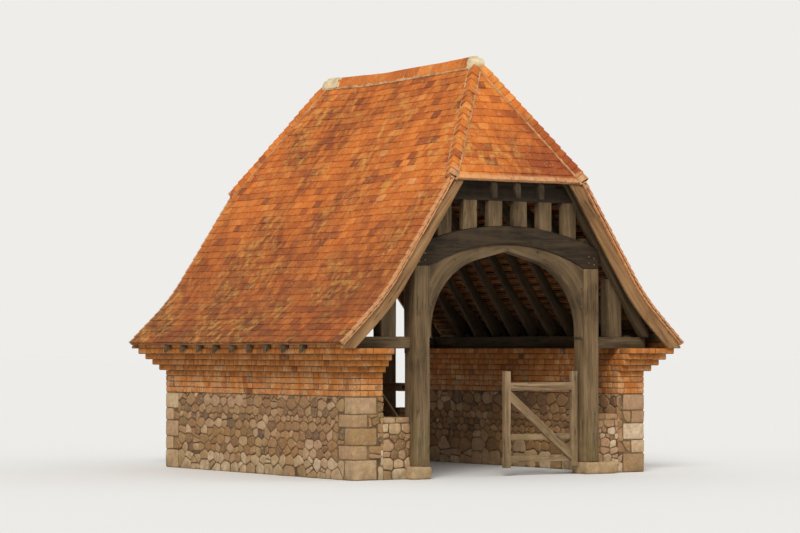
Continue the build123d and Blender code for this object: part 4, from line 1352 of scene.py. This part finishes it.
def stage():
    """A pale floor, a pale surround and soft light."""
    mesh = bpy.data.meshes.new("floor")
    corners = ((-1, -1), (1, -1), (1, 1), (-1, 1))
    mesh.from_pydata([(FLOOR_REACH * x, FLOOR_REACH * y, 0) for x, y in corners], [], [(0, 1, 2, 3)])
    mesh.materials.append(Finish("studio_floor", (233, 234, 234)).finish(0.9))
    floor = put("floor", mesh)
    floor.location.z = -0.001
    world = bpy.data.worlds.new("studio")
    bpy.context.scene.world = world
    world.use_nodes = True
    tree = world.node_tree
    path = tree.nodes.new("ShaderNodeLightPath").outputs
    seen = path["Is Camera Ray"]
    for kind in ("Is Glossy Ray", "Is Transmission Ray"):
        seen = node(tree, "Math", {0: seen, 1: path[kind]}, operation="MAXIMUM")
    background = tree.nodes["Background"].inputs
    feed(background["Strength"], node(tree, "MapRange", {"To Min": 0.55, "To Max": 0.855, "Value": seen}))
    background["Color"].default_value = (1.0, 0.99, 0.963, 1)
    for name, toward, power, spread, colour in (("key", (0.55, 0.62, -0.62), 2.1, 22, (1.0, 0.96, 0.9)),
                                                ("fill", (-0.8, 0.3, -0.5), 0.5, 60, (0.95, 0.97, 1.0))):
        data = bpy.data.lights.new(name, "SUN")
        data.energy = power
        data.angle = radians(spread)
        data.color = colour
        aim(name, data, toward)
    bpy.context.scene.view_settings.view_transform = "Standard"


camera()
stage()

# Oak members of the frame: their darkest and lightest tint, the step between their cuts, the wear of
# their edges and the wander of their faces. The near-black tints of the collars, hip plates and hip rafters are
# painted shade under the hip eaves.
FRAME_TIMBERS = (
    ("front_posts", 0.66, 0.8, 0.15, 0.009, 0.005), ("rear_posts", 0.6, 0.75, 0.15, 0.009, 0.005),
    ("front_tie_beam", 0.08, 0.08, 0.15, 0.009, 0.005), ("rear_tie_beam", 0.12, 0.12, 0.15, 0.009, 0.005),
    ("front_gable_studs", 0.55, 0.8, 0.12, 0.006, 0.004), ("rear_gable_studs", 0.5, 0.8, 0.12, 0.006, 0.004),
    # collars: near-black tints, painted shade under the hip eaves
    ("principal_rafters", 0.35, 0.45, 0.2, 0.007, 0.004), ("collars", 0.0, 0.06, 0.2, 0.008, 0.004),
    # hip plates: near-black tints, painted shade under the hip eaves
    ("hip_plates", 0.0, 0.06, 0.2, 0.006, 0.003), ("arcade_plates", 0.25, 0.35, 0.25, 0.007, 0.004),
    ("wall_plates", 0.2, 0.35, 0.25, 0.006, 0.004), ("common_rafters_left", 0.2, 0.45, 0.3, 0.004, 0.003),
    ("common_rafters_right", 0.2, 0.45, 0.3, 0.004, 0.003), ("ridge_board", 0.25, 0.25, 0.3, 0.004, 0.003),
    # hip rafters: near-black tints, painted shade under the hip eaves
    ("front_hip_rafters", 0.04, 0.14, 0.3, 0.004, 0.003), ("rear_hip_rafters", 0.04, 0.14, 0.3, 0.004, 0.003),
    ("front_bargeboards", 0.6, 0.75, 0.15, 0.004, 0.003),
    ("rear_bargeboards", 0.55, 0.75, 0.15, 0.004, 0.003))
for index, (name, *tones, step, edge, wander) in enumerate(FRAME_TIMBERS):
    look = BOARD_OAK if "bargeboards" in name else OAK
    timbers(name, look, tones, step, edge, wander, 100 + 20 * index)
for index, end in enumerate(("front", "rear")):
    for part in ("left", "right"):
        timbers(f"{end}_arch_brace_{part}", OAK, (0.5, 0.62), 0.1, 0.007, 0.003, 500 + 20 * index,
                grain=bent_grain)
    timbers(f"{end}_aisle_frames", OAK, (0.45, 0.65), 0.12, 0.007, 0.004, 560 + 20 * index,
            joint=wall_top + AISLE_RAIL_DEPTH)
for index, side in enumerate(("left", "right")):
    for part in ("stiles", "rails", "brace"):
        timbers(f"{side}_gate_{part}", GATE_OAK, (0.5, 0.85), 0.12, 0.004, 0.0018, 700 + 40 * index,
                body=f"{side}_gate")
for name in ("left_gate_straps", "right_gate_straps", "gate_pintles"):
    nodes[name].data.materials.clear()
    nodes[name].data.materials.append(IRON[0])

for name, side, seed in (("left", -1, 11), ("right", 1, 12)):
    slope = f"roof_slope_{name}"
    planes = [hip_plane(side, end) for end in (1, -1)]
    lay_tiles(slope, slope, on_slope, side, SLOPE_LENGTH, -verge, planes, seed)
    side_wall(name, side, seed + 10)
    brickwork(name, side, seed + 30)
for name, end, seed in (("front", 1, 13), ("rear", -1, 14)):
    planes = [(origin, -normal) for origin, normal in (hip_plane(side, end) for side in (-1, 1))]
    lay_tiles(f"{name}_hip", f"{name}_hip_slope", on_hip, end, HIP_LENGTH, hip_half + 0.02, planes, seed)
for make in (battens, tilting_fillets, ridge, hips, verges, dwarf_walls, pegs, gate_nails):
    make()
